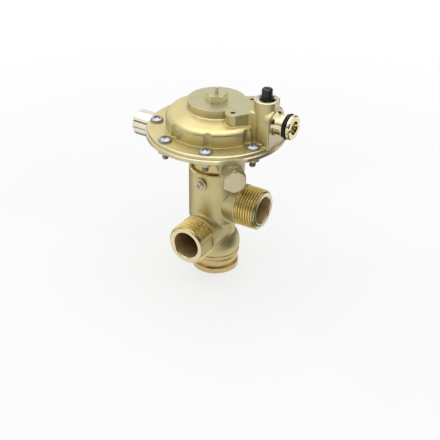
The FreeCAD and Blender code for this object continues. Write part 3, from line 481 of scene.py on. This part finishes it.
def finish(name):
    """Looks up a finish, and makes it the first time."""
    if name not in FINISHES:
        colours = bpy.context.scene.valve_finishes
        makers = {
            "cast": lambda: cast_brass(colours),
            "thread_upper": lambda: thread_brass("thread_brass_upper", colours, "X", (0, 0, UPPER_PORT_Z)),
            "thread_lower": lambda: thread_brass("thread_brass_lower", colours, "Y", (0, 0, LOWER_PORT_Z)),
            "bore": lambda: shaded_bore(colours),
            "zinc": lambda: plain_steel("zinc_plate", tuple(colours.zinc)),
            "spring_steel": lambda: plain_steel("spring_steel", tuple(colours.spring_steel), metallic=0.6),
            "rubber": lambda: sealing_rubber(colours),
            "plastic": lambda: moulded_plastic(colours),
            "fibre": lambda: pressed_fibre(colours),
            "turned_z": lambda: turned_brass("turned_brass_z", colours, "Z"),
            "satin_z": lambda: turned_brass(
                "satin_brass_z", colours, "Z", rough=(0.3, 0.42),
                colour=shade(colours.bright, 0.85), lines=0.2),
            "golden": lambda: turned_brass(
                "golden_brass", colours, "Z", rough=(0.16, 0.26), colour=tuple(colours.gold), lines=0.2),
            "milled": lambda: turned_brass(
                "milled_brass", colours, "Z", rough=(0.34, 0.46), colour=tuple(colours.milled), lines=0.2),
            "turned_tube": lambda: turned_brass(
                "turned_brass_tube", colours, "X", (0, 0, TUBE_Z), rough=(0.07, 0.11),
                colour=tuple(colours.tube), lines=0.03),
            "turned_spigot": lambda: turned_brass(
                "turned_brass_spigot", colours, "X", (0, 0, SPIGOT_Z), rough=(0.05, 0.1), lines=0.03),
            "turned_upper": lambda: turned_brass("turned_brass_upper", colours, "X", (0, 0, UPPER_PORT_Z)),
            "turned_lower": lambda: turned_brass("turned_brass_lower", colours, "Y", (0, 0, LOWER_PORT_Z)),
            "plug": lambda: plug_brass(colours),
            "gland": lambda: gland_brass(colours),
        }
        FINISHES[name] = makers[name]()
    return FINISHES[name]


# Mesh helpers


def new_object(name, mesh, materials, body, replaces=()):
    """Puts a finished mesh in the scene, riding on its body."""
    piece = bpy.data.objects.new(name, mesh)
    bpy.context.scene.collection.objects.link(piece)
    for material in materials:
        mesh.materials.append(material)
    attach(piece, body)
    if replaces:
        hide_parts(*replaces)
    return piece


def smooth_by_angle(mesh, degrees):
    """Smooth shading with hard edges kept."""
    for face in mesh.polygons:
        face.use_smooth = True
    mesh.set_sharp_from_angle(angle=math.radians(degrees))


def part_copy(node, name, keep, chooser):
    """Copy of a solid's mesh and normals: some faces left out, and a finish chosen for each."""
    source = frame["nodes"][node].data
    kept = [face for face in source.polygons if keep(face.center)]
    index, points, faces, normals = {}, [], [], []
    for face in kept:
        corners = []
        for loop in face.loop_indices:
            vert = source.loops[loop].vertex_index
            if vert not in index:
                index[vert] = len(points)
                points.append(source.vertices[vert].co.copy())
            corners.append(index[vert])
            normals.append(source.corner_normals[loop].vector.copy())
        faces.append(corners)
    mesh = bpy.data.meshes.new(name)
    mesh.from_pydata(points, [], faces)
    for face, first in zip(mesh.polygons, kept):
        face.use_smooth = True
        face.material_index = chooser(first.center, first.normal)
    mesh.normals_split_custom_set(normals)
    return mesh


def to_mesh(work, name, degrees):
    """Finished mesh out of a working one."""
    mesh = bpy.data.meshes.new(name)
    work.to_mesh(mesh)
    work.free()
    smooth_by_angle(mesh, degrees)
    return mesh


def skin(work, radii, heights, matrix, closed=False):
    """Surface through rows of points round +Z; each row has a radius per column, and a height."""
    columns = radii.shape[1]
    angles = np.arange(columns) * 2 * math.pi / columns
    rows = []
    for radius, height in zip(radii, heights):
        xs, ys = radius * np.cos(angles), radius * np.sin(angles)
        rows.append([work.verts.new(matrix @ Vector((x, y, height))) for x, y in zip(xs, ys)])
    pairs = list(zip(rows, rows[1:]))
    if closed:
        pairs.append((rows[-1], rows[0]))
    faces = []
    for low, high in pairs:
        for column in range(columns):
            after = (column + 1) % columns
            faces.append(work.faces.new((low[column], low[after], high[after], high[column])))
    return faces


def lathe(work, profile, matrix, columns):
    """Turned surface of a closed (radius, height) profile, in metres."""
    radii = np.array([[radius] * columns for radius, height in profile], float)
    skin(work, radii, [height for radius, height in profile], matrix, closed=True)


def along(direction, place):
    """Matrix that lays a piece made along +Z in another direction."""
    turn = Vector((0, 0, 1)).rotation_difference(Vector(direction)).to_matrix().to_4x4()
    return Matrix.Translation(place) @ turn


def thread_radius(angles, height, pitch, crest, root):
    """Radius of a rounded thread at each angle of one row."""
    root_share, flank_share = 0.14, 0.72
    phase = (height / pitch - angles / (2 * math.pi)) % 1.0
    flank = np.clip((np.abs(2 * phase - 1) - root_share) / flank_share, 0, 1)
    return root + (crest - root) * flank * flank * (3 - 2 * flank)


def threaded_rows(start, stop, step, columns, pitch, crest, root, limit):
    """Rows of a thread between two heights, held inside a limiting outline."""
    count = max(2, int(round((stop - start) / step)) + 1)
    heights = np.linspace(start, stop, count)
    angles = np.arange(columns) * 2 * math.pi / columns
    rows = []
    for height in heights:
        rows.append(np.minimum(thread_radius(angles, height, pitch, crest, root), limit(height)))
    return np.array(rows), list(heights)


# Castings


def body_face_finish(centre, normal):
    """0 for the cast faces of the body, 1 for the turned foot and cup, 2 for the bores, 3 for the rim."""
    foot_z, cup_z, rim_z = 12.6 * MM, 57.0 * MM, 73.3 * MM
    bore_r, cup_r = 14.1 * MM, 15.2 * MM
    out = math.hypot(centre.x, centre.y)
    inward = normal.x * centre.x + normal.y * centre.y < 0
    if centre.z > rim_z:
        return 3
    if inward and out < bore_r:
        return 2
    if centre.z < foot_z:
        return 1
    return 1 if out < cup_r and centre.z > cup_z else 0


def housing_face_finish(centre, normal):
    """0 for the cast faces of the housing, 1 for the turned neck, 2 for the machined rim and chamber."""
    neck_r, neck_z = 15.2 * MM, 87.0 * MM
    floor_r, floor_z = 27.0 * MM, 89.9 * MM
    rim_r, land_r, land_z = 42.9 * MM, 42.5 * MM, 95.9 * MM
    out = math.hypot(centre.x, centre.y)
    if out < neck_r and centre.z < neck_z:
        return 1
    if out < floor_r and centre.z > floor_z:
        return 2
    rim = out > rim_r and abs(normal.z) < 0.9
    return 2 if rim or out > land_r and centre.z < land_z else 0


def cover_face_finish(centre, normal):
    """0 for the cast faces of the cover, 1 for its milled flat top, 2 for the rims and the outlet face."""
    top_z, outlet_x, tower_z = 119.0 * MM, 42.3 * MM, 127.2 * MM
    flange_r, flange_z = 42.2 * MM, 101.1 * MM
    if abs(normal.z) > 0.95 and abs(centre.z - top_z) < 0.1 * MM:
        return 1
    if normal.x > 0.95 and centre.x > outlet_x or centre.z > tower_z:
        return 2
    return 2 if math.hypot(centre.x, centre.y) > flange_r and centre.z < flange_z else 0


def casting(node, name, chooser, keep, finishes):
    """Copy of a cast node with its machined faces set apart."""
    mesh = part_copy(node, name, keep, chooser)
    new_object(name, mesh, [finish(label) for label in finishes], "valve", [node])


def whole(point):
    """True for every face."""
    return True


def outside_ports(point):
    """False for the threaded ends of the body, which are made apart."""
    mouth, mouth_r = BORE_FLOOR + 0.1 * MM, 9.0 * MM
    upper = math.hypot(point.y, point.z - UPPER_PORT_Z)
    lower = math.hypot(point.x, point.z - LOWER_PORT_Z)
    if point.x > PORT_CUT or point.y < -PORT_CUT:
        return False
    if point.x > mouth and upper < mouth_r:
        return False
    return not (point.y < -mouth and lower < mouth_r)


class VALVE_OT_castings(bpy.types.Operator):
    """Body, lower housing and cover with blasted and machined faces"""

    bl_idname = "valve.castings"
    bl_label = "Castings"

    def execute(self, context):
        casting("valve_body", "body_casting", body_face_finish, outside_ports,
                ("cast", "golden", "bore", "turned_z"))
        casting("lower_housing", "lower_housing_casting", housing_face_finish, whole,
                ("cast", "golden", "satin_z"))
        casting("upper_cover", "cover_casting", cover_face_finish, whole, ("cast", "milled", "satin_z"))
        return {"FINISHED"}


def port_limit(height, crest):
    """Outline that a port's thread stays inside: run-out cone and leading chamfer."""
    run_out = RELIEF_R + max(0.0, height - RUN_OUT)
    lead = crest - max(0.0, height - LEAD)
    return min(crest, run_out, lead)


def full_rows(profile, columns):
    """Round rows of a (radius, height) profile in millimetres."""
    return np.array([[radius * MM] * columns for radius, height in profile])


def port_thread(name, direction, place, flat, thread, bright):
    """Threaded end of a port with its relief groove, end face and bore."""
    sizes = bpy.context.scene.valve_threads
    columns, step = 144, 0.11 * MM

    def limit(height):
        return port_limit(height, sizes.crest)

    rows, heights = threaded_rows(
        RUN_OUT, PORT_END, step, columns, sizes.pitch, sizes.crest, sizes.root, limit)
    radii = np.vstack([full_rows(PORT_GROOVE, columns), rows, full_rows(PORT_BORE, columns)])
    levels = [height * MM for radius, height in PORT_GROOVE] + heights
    levels += [height * MM for radius, height in PORT_BORE]
    work = bmesh.new()
    faces = skin(work, radii, levels, along(direction, place))
    end_bands = 3
    groove_end = (len(PORT_GROOVE) - 1) * columns
    face_start = (len(PORT_GROOVE) + len(heights) - 1) * columns
    bore_start = face_start + end_bands * columns
    for index, face in enumerate(faces):
        face.material_index = 1 if index >= face_start or index < groove_end else 0
        if index >= bore_start:
            face.material_index = 2
    if flat:
        for vert in work.verts:
            vert.co.x = min(vert.co.x, flat)
        for face in faces:
            if all(vert.co.x > flat - 1e-6 for vert in face.verts):
                face.material_index = 3
    bmesh.ops.recalc_face_normals(work, faces=work.faces)
    finishes = [finish(label) for label in (thread, bright, "bore", "cast")]
    new_object(name, to_mesh(work, name, 50), finishes, "valve")


class VALVE_OT_port_threads(bpy.types.Operator):
    """Pipe threads of the two side ports"""

    bl_idname = "valve.port_threads"
    bl_label = "Port threads"

    def execute(self, context):
        port_thread("upper_port_thread", (1, 0, 0), (0, 0, UPPER_PORT_Z), 0, "thread_upper", "turned_upper")
        port_thread("lower_port_thread", (0, -1, 0), (0, 0, LOWER_PORT_Z), LOWER_FLAT_X,
                    "thread_lower", "turned_lower")
        return {"FINISHED"}


# Fasteners


def screw_head(work, matrix, head_r, height, turn):
    """Domed pan head with a cross recess pressed into it."""
    columns, rings = 72, 26
    edge, crown_rim, roundness = height / 3, 0.985, 0.62
    profile = [(0.0, 0.0), (head_r * 0.97, 0.0), (head_r, edge * 0.3), (head_r, edge * 0.9)]
    for share in np.linspace(crown_rim, 0.0, rings):
        crown = edge + (height - edge) * (1 - share ** 2) ** roundness
        profile.append((head_r * share, crown))
    radii = np.array([[radius] * columns for radius, level in profile])
    faces = skin(work, radii, [level for radius, level in profile], Matrix.Identity(4))
    verts = {vert for face in faces for vert in face.verts}
    arm, width, depth = head_r * 0.6, head_r * 0.12, height * 0.72
    for vert in verts:
        out = math.hypot(vert.co.x, vert.co.y)
        if vert.co.z < edge or out > arm * 1.2:
            continue
        x = vert.co.x * math.cos(turn) + vert.co.y * math.sin(turn)
        y = vert.co.y * math.cos(turn) - vert.co.x * math.sin(turn)
        side = min(abs(x), abs(y))
        across = min(1.0, max(0.0, (width * 1.5 - side) / (width * 0.5)))
        length = min(1.0, max(0.0, (arm - out) / (arm * 0.25)))
        vert.co.z -= depth * across * length * (1 - 0.35 * out / arm)
    for vert in verts:
        vert.co = matrix @ vert.co


def screw_shank(work, matrix, radius, length, pitch):
    """Threaded shank with a small cone at its end, closed inside the head."""
    columns = 28
    tip, root, inside = 0.25 * radius, radius - 0.61 * pitch, 0.25 * MM

    def limit(height):
        return radius - max(0.0, tip - (height + length))

    rows, heights = threaded_rows(-length, 0, pitch / 7, columns, pitch, radius, root, limit)
    end = np.zeros((1, columns))
    skin(work, np.vstack([end, rows, end]), [-length] + heights + [inside], matrix)


def screws(name, node, metal, places, radius, length, head_r, head_h, pitch):
    """Set of like screws; a place is a matrix whose +Z leaves the head's top, and a recess angle."""
    work = bmesh.new()
    for matrix, turn in places:
        screw_head(work, matrix, head_r, head_h, turn)
        screw_shank(work, matrix, radius, length, pitch)
    bmesh.ops.remove_doubles(work, verts=work.verts, dist=1e-7)
    bmesh.ops.recalc_face_normals(work, faces=work.faces)
    new_object(name, to_mesh(work, name, 40), [finish(metal)], "valve", [node])


class VALVE_OT_screws(bpy.types.Operator):
    """Flange screws and the lock screw, with threads and cross recesses"""

    bl_idname = "valve.screws"
    bl_label = "Screws"

    def execute(self, context):
        pitch = context.scene.valve_threads.screw_pitch
        circle, seat = 37.8 * MM, 101.0 * MM
        places = []
        for step in range(8):
            angle = math.radians(22.5 + 45 * step)
            place = (circle * math.cos(angle), circle * math.sin(angle), seat)
            places.append((Matrix.Translation(place), math.radians(25 + 37 * step)))
        screws("flange_screws", "cover_screws", "zinc", places, radius=2.0 * MM, length=12.0 * MM,
               head_r=4.2 * MM, head_h=2.75 * MM, pitch=pitch)
        lock = along((0, -1, 0), (0, -18.95 * MM, 67.0 * MM))
        screws("lock_screw_head", "lock_screw", "spring_steel", [(lock, math.radians(20))], radius=1.5 * MM,
               length=5.18 * MM, head_r=2.8 * MM, head_h=1.75 * MM, pitch=pitch * 0.7)
        return {"FINISHED"}


# Turned pieces, seals and inner works


def dress(node, material):
    """New finish on a CAD node whose shape stays."""
    shown = frame["nodes"][node]
    shown.data.materials.clear()
    shown.data.materials.append(finish(material))


class VALVE_OT_turned(bpy.types.Operator):
    """Plug, tube, spigot, gland nut and the turned pieces inside"""

    bl_idname = "valve.turned"
    bl_label = "Turned pieces"

    def execute(self, context):
        dress("hex_plug", "plug")
        dress("plug_washer", "fibre")
        dress("inlet_tube", "turned_tube")
        dress("outlet_spigot", "turned_spigot")
        dress("gland_nut", "gland")
        for node in ("stem_gland", "lower_seat_ring", "upper_disc", "lower_disc"):
            dress(node, "turned_z")
        return {"FINISHED"}


def ring(name, node, mean, section, matrix):
    """Sealing ring of round section with a fine moulding seam round its outside."""
    work = bmesh.new()
    profile = []
    sides = 28
    for step in range(sides):
        angle = 2 * math.pi * step / sides
        seam = 1.03 if step == 0 else 1.0
        profile.append((mean + section * seam * math.cos(angle), section * math.sin(angle)))
    lathe(work, profile, matrix, 96)
    bmesh.ops.recalc_face_normals(work, faces=work.faces)
    new_object(name, to_mesh(work, name, 60), [finish("rubber")], "valve", [node])


class VALVE_OT_seals(bpy.types.Operator):
    """Sealing rings and flat seals"""

    bl_idname = "valve.seals"
    bl_label = "Seals"

    def execute(self, context):
        low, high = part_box("spigot_ring")
        section = (high.x - low.x) / 2
        mean = (high.z - low.z) / 2 - section
        lying = along((1, 0, 0), (low + high) / 2)
        ring("spigot_sealing_ring", "spigot_ring", mean, section, lying)
        for node in ("neck_rings", "gland_seal", "stem_seal", "regulator_ring",
                     "upper_disc_seal", "lower_disc_seal"):
            dress(node, "rubber")
        return {"FINISHED"}


class VALVE_OT_regulator(bpy.types.Operator):
    """Flow regulator and its circlip"""

    bl_idname = "valve.regulator"
    bl_label = "Regulator"

    def execute(self, context):
        dress("flow_regulator", "plastic")
        dress("regulator_circlip", "spring_steel")
        return {"FINISHED"}


class VALVE_OT_spindle(bpy.types.Operator):
    """Spindle, plates, nut, clips and switch pin"""

    bl_idname = "valve.spindle"
    bl_label = "Spindle"

    def execute(self, context):
        dress("switch_pin", "spring_steel")
        for node in ("valve_stem", "upper_plate", "lower_plate", "diaphragm_nut", "stem_clips"):
            dress(node, "zinc")
        return {"FINISHED"}


class VALVE_OT_spring(bpy.types.Operator):
    """Return spring and diaphragm"""

    bl_idname = "valve.spring"
    bl_label = "Spring and diaphragm"

    def execute(self, context):
        travel = frame["joints"][0]["range_m"][1]
        self.coil(travel)
        self.sheet(travel)
        return {"FINISHED"}

    def coil(self, travel):
        """Coiled spring wire, from the upper disc to the neck's gland."""
        low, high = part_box("return_spring")
        wire, mean, turns = 0.55 * MM, 5.6 * MM, 4.5
        sides, steps = 12, 260
        span = high.z - low.z - 2 * wire
        work = bmesh.new()
        rows = []
        for step in range(steps + 1):
            share = step / steps
            angle = share * turns * 2 * math.pi
            outward = Vector((math.cos(angle), math.sin(angle), 0))
            centre = outward * mean + Vector((0, 0, low.z + wire + span * share))
            row = []
            for side in range(sides):
                turn = 2 * math.pi * side / sides
                around = outward * math.cos(turn) + Vector((0, 0, math.sin(turn)))
                row.append(work.verts.new(centre + around * wire))
            rows.append(row)
        for first, second in zip(rows, rows[1:]):
            for side in range(sides):
                after = (side + 1) % sides
                work.faces.new((first[side], first[after], second[after], second[side]))
        work.faces.new(rows[0][::-1])
        work.faces.new(rows[-1])
        bmesh.ops.recalc_face_normals(work, faces=work.faces)
        mesh = to_mesh(work, "return_spring_coil", 60)
        steel = [finish("zinc")]
        piece = new_object("return_spring_coil", mesh, steel, "valve", ["return_spring"])
        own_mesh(piece)

    def sheet(self, travel):
        """Dished diaphragm with a bead round its rim."""
        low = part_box("diaphragm")[0]
        sag = 6.2 * MM
        joint = low.z + sag
        profile = [
            (2.02, -6.2), (20.6, -6.2), (21.6, -5.7), (25.2, -1.1), (26.0, -0.6), (30.6, -0.6),
            (30.6, -1.05), (33.4, -1.05), (33.4, 1.05), (30.6, 1.05), (30.6, 0.6), (25.4, 0.6),
            (24.6, 0.1), (20.4, -4.6), (19.6, -5.0), (2.02, -5.0),
        ]
        work = bmesh.new()
        points = [(radius * MM, joint + height * MM) for radius, height in profile]
        lathe(work, points, Matrix.Identity(4), 96)
        bmesh.ops.recalc_face_normals(work, faces=work.faces)
        mesh = to_mesh(work, "diaphragm_sheet", 40)
        piece = new_object("diaphragm_sheet", mesh, [finish("rubber")], "valve", ["diaphragm"])
        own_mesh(piece)


# Stage

# Dark cards that only reflections show: name, bearing of the middle and spread in degrees,
# (radius, height) of the near and the far rim in metres, and grey
# The cards that lie at floor height are painted shadow of the floor round the valve, which only reflections
# show.
CARDS = (
    ("right_card", 45, 110, (1.1, 0.0), (1.1, 0.6), 0.05),
    ("front_card", -125, 70, (1.1, 0.38), (1.1, 0.60), 0.15),
    ("front_floor_card", -137, 20, (0.19, 0.001), (0.25, 0.001), 0.3),
    ("camera_card", -55, 90, (1.1, 0.08), (1.1, 0.95), 0.04),
    ("floor_card", 7, 64, (0.068, 0.001), (0.5, 0.001), 0.12),
    ("foot_card", -20, 70, (0.048, 0.002), (0.070, 0.002), 0.12),
    ("back_card", 135, 110, (0.06, 0.001), (0.9, 0.001), 0.35),
)


def area_lamp(name, place, aim, size, power):
    """Soft square lamp that looks at a point."""
    data = bpy.data.lights.new(name, "AREA")
    data.shape = "RECTANGLE"
    data.size = data.size_y = size
    data.energy = power
    lamp = bpy.data.objects.new(name, data)
    lamp.location = place
    lamp.rotation_euler = (Vector(aim) - Vector(place)).to_track_quat("-Z", "Y").to_euler()
    bpy.context.scene.collection.objects.link(lamp)


def seen_rays(tree):
    """1 where the camera, a reflection or a see-through ray looks."""
    rays = tree.nodes.new("ShaderNodeLightPath")
    seen = rays.outputs["Is Camera Ray"]
    for name in ("Is Glossy Ray", "Is Transmission Ray"):
        larger = tree.nodes.new("ShaderNodeMath")
        larger.operation = "MAXIMUM"
        tree.links.new(seen, larger.inputs[0])
        tree.links.new(rays.outputs[name], larger.inputs[1])
        seen = larger.outputs["Value"]
    return seen


def mixed_in(tree, share, first, second, output):
    """Joins a mix of two shaders to an output."""
    mix = tree.nodes.new("ShaderNodeMixShader")
    tree.links.new(share, mix.inputs["Fac"])
    tree.links.new(first, mix.inputs[1])
    tree.links.new(second, mix.inputs[2])
    tree.links.new(mix.outputs["Shader"], output.inputs["Surface"])


class VALVE_OT_stage(bpy.types.Operator):
    """Camera, lamp, floor, cards and white surroundings"""

    bl_idname = "valve.stage"
    bl_label = "Stage"

    def execute(self, context):
        scene = context.scene
        scene.view_settings.view_transform = "Standard"
        self.camera(scene)
        self.world(scene)
        self.floor(scene)
        sizes = scene.valve_stage
        area_lamp("top_lamp", place=(0.0, 0.0, 1.0), aim=(0, 0, 0.07),
                  size=sizes.lamp_size, power=sizes.lamp_power)
        for row in CARDS:
            self.card(*row)
        return {"FINISHED"}

    def card(self, name, middle, spread, near, far, grey):
        """Dark card between two (radius, height) rims round the valve, that only reflections show."""
        work = bmesh.new()
        columns = 24
        rows = []
        for radius, level in (near, far):
            row = []
            for step in range(columns + 1):
                angle = math.radians(middle + spread * (step / columns - 0.5))
                row.append(work.verts.new((radius * math.cos(angle), radius * math.sin(angle), level)))
            rows.append(row)
        for step in range(columns):
            work.faces.new((rows[0][step], rows[0][step + 1], rows[1][step + 1], rows[1][step]))
        mesh = bpy.data.meshes.new(name)
        work.to_mesh(mesh)
        work.free()
        made = Nodes(name + "_grey")
        made.set(Roughness=0.9, Base_Color=(grey, grey, grey, 1))
        mesh.materials.append(made.material)
        shown = bpy.data.objects.new(name, mesh)
        shown.visible_camera = shown.visible_diffuse = shown.visible_shadow = False
        bpy.context.scene.collection.objects.link(shown)

    def camera(self, scene):
        stage = scene.valve_stage
        data = bpy.data.cameras.new("photo_camera")
        data.sensor_width = 36.0
        data.lens = stage.lens
        camera = bpy.data.objects.new("photo_camera", data)
        around, above = stage.azimuth, stage.elevation
        level = math.cos(above)
        back = Vector((math.sin(around) * level, -math.cos(around) * level, math.sin(above)))
        right = Vector((math.cos(around), math.sin(around), 0))
        up = back.cross(right)
        side = right * math.cos(stage.roll) + up * math.sin(stage.roll)
        top = up * math.cos(stage.roll) - right * math.sin(stage.roll)
        turn = Matrix((side, top, back)).transposed().to_4x4()
        camera.matrix_world = Matrix.Translation(stage.place) @ turn
        scene.collection.objects.link(camera)
        scene.camera = camera

    def world(self, scene):
        world = bpy.data.worlds.new("white_studio")
        world.use_nodes = True
        scene.world = world
        tree = world.node_tree
        ordinary = tree.nodes["Background"]
        ordinary.inputs["Color"].default_value = (1, 1, 1, 1)
        ordinary.inputs["Strength"].default_value = scene.valve_stage.ambient
        white = tree.nodes.new("ShaderNodeBackground")
        white.inputs["Color"].default_value = (1, 1, 1, 1)
        white.inputs["Strength"].default_value = 1.0
        sides = (ordinary.outputs["Background"], white.outputs["Background"])
        mixed_in(tree, seen_rays(tree), *sides, tree.nodes["World Output"])

    def floor(self, scene):
        work = bmesh.new()
        bmesh.ops.create_grid(work, x_segments=8, y_segments=8, size=3.0)
        mesh = bpy.data.meshes.new("studio_floor")
        work.to_mesh(mesh)
        work.free()
        made = Nodes("white_floor")
        tone = tuple(scene.valve_stage.floor)
        made.to("Base Color", made.ramp(made.noise(3, 2), 0.3, 0.7, shade(tone, 0.99), tone))
        made.set(Roughness=0.6)
        white = made.add("ShaderNodeEmission")
        white.inputs["Color"].default_value = (1, 1, 1, 1)
        lift_near, lift_far = 0.12, 0.45
        away = made.add("ShaderNodeMapRange", interpolation_type="SMOOTHSTEP")
        away.inputs["From Min"].default_value = lift_near
        away.inputs["From Max"].default_value = lift_far
        away.inputs["To Min"].default_value = scene.valve_stage.lift
        made.join(made.off_axis("Z", (0, 0, 0)), away.inputs["Value"])
        share = made.add("ShaderNodeMath", operation="MULTIPLY")
        made.join(seen_rays(made.tree), share.inputs[0])
        made.join(away.outputs["Result"], share.inputs[1])
        sides = (made.shader.outputs["BSDF"], white.outputs["Emission"])
        mixed_in(made.tree, share.outputs["Value"], *sides, made.tree.nodes["Material Output"])
        mesh.materials.append(made.material)
        floor = bpy.data.objects.new("studio_floor", mesh)
        scene.collection.objects.link(floor)


class VALVE_PT_panel(bpy.types.Panel):
    """Lists the valve's steps in the sidebar"""

    bl_label = "Diverter valve"
    bl_idname = "VALVE_PT_panel"
    bl_space_type = "VIEW_3D"
    bl_region_type = "UI"
    bl_category = "Valve"

    def draw(self, context):
        layout = self.layout
        for step in STEPS:
            layout.operator(step.bl_idname)
        for group in (context.scene.valve_threads, context.scene.valve_finishes, context.scene.valve_stage):
            box = layout.box()
            for name in group.__annotations__:
                box.prop(group, name)


STEPS = (
    VALVE_OT_castings,
    VALVE_OT_port_threads,
    VALVE_OT_screws,
    VALVE_OT_turned,
    VALVE_OT_seals,
    VALVE_OT_regulator,
    VALVE_OT_spindle,
    VALVE_OT_spring,
    VALVE_OT_stage,
)
GROUPS = {"valve_threads": ValveThreads, "valve_finishes": ValveFinishes, "valve_stage": ValveStage}


def register():
    for group in GROUPS.values():
        bpy.utils.register_class(group)
    for name, group in GROUPS.items():
        setattr(bpy.types.Scene, name, bpy.props.PointerProperty(type=group))
    for step in STEPS + (VALVE_PT_panel,):
        bpy.utils.register_class(step)


def unregister():
    for step in reversed(STEPS + (VALVE_PT_panel,)):
        bpy.utils.unregister_class(step)
    for name, group in GROUPS.items():
        delattr(bpy.types.Scene, name)
        bpy.utils.unregister_class(group)


def main():
    register()
    bpy.ops.valve.castings()
    bpy.ops.valve.port_threads()
    bpy.ops.valve.screws()
    bpy.ops.valve.turned()
    bpy.ops.valve.seals()
    bpy.ops.valve.regulator()
    bpy.ops.valve.spindle()
    bpy.ops.valve.spring()
    bpy.ops.valve.stage()


if __name__ == "__main__":
    main()
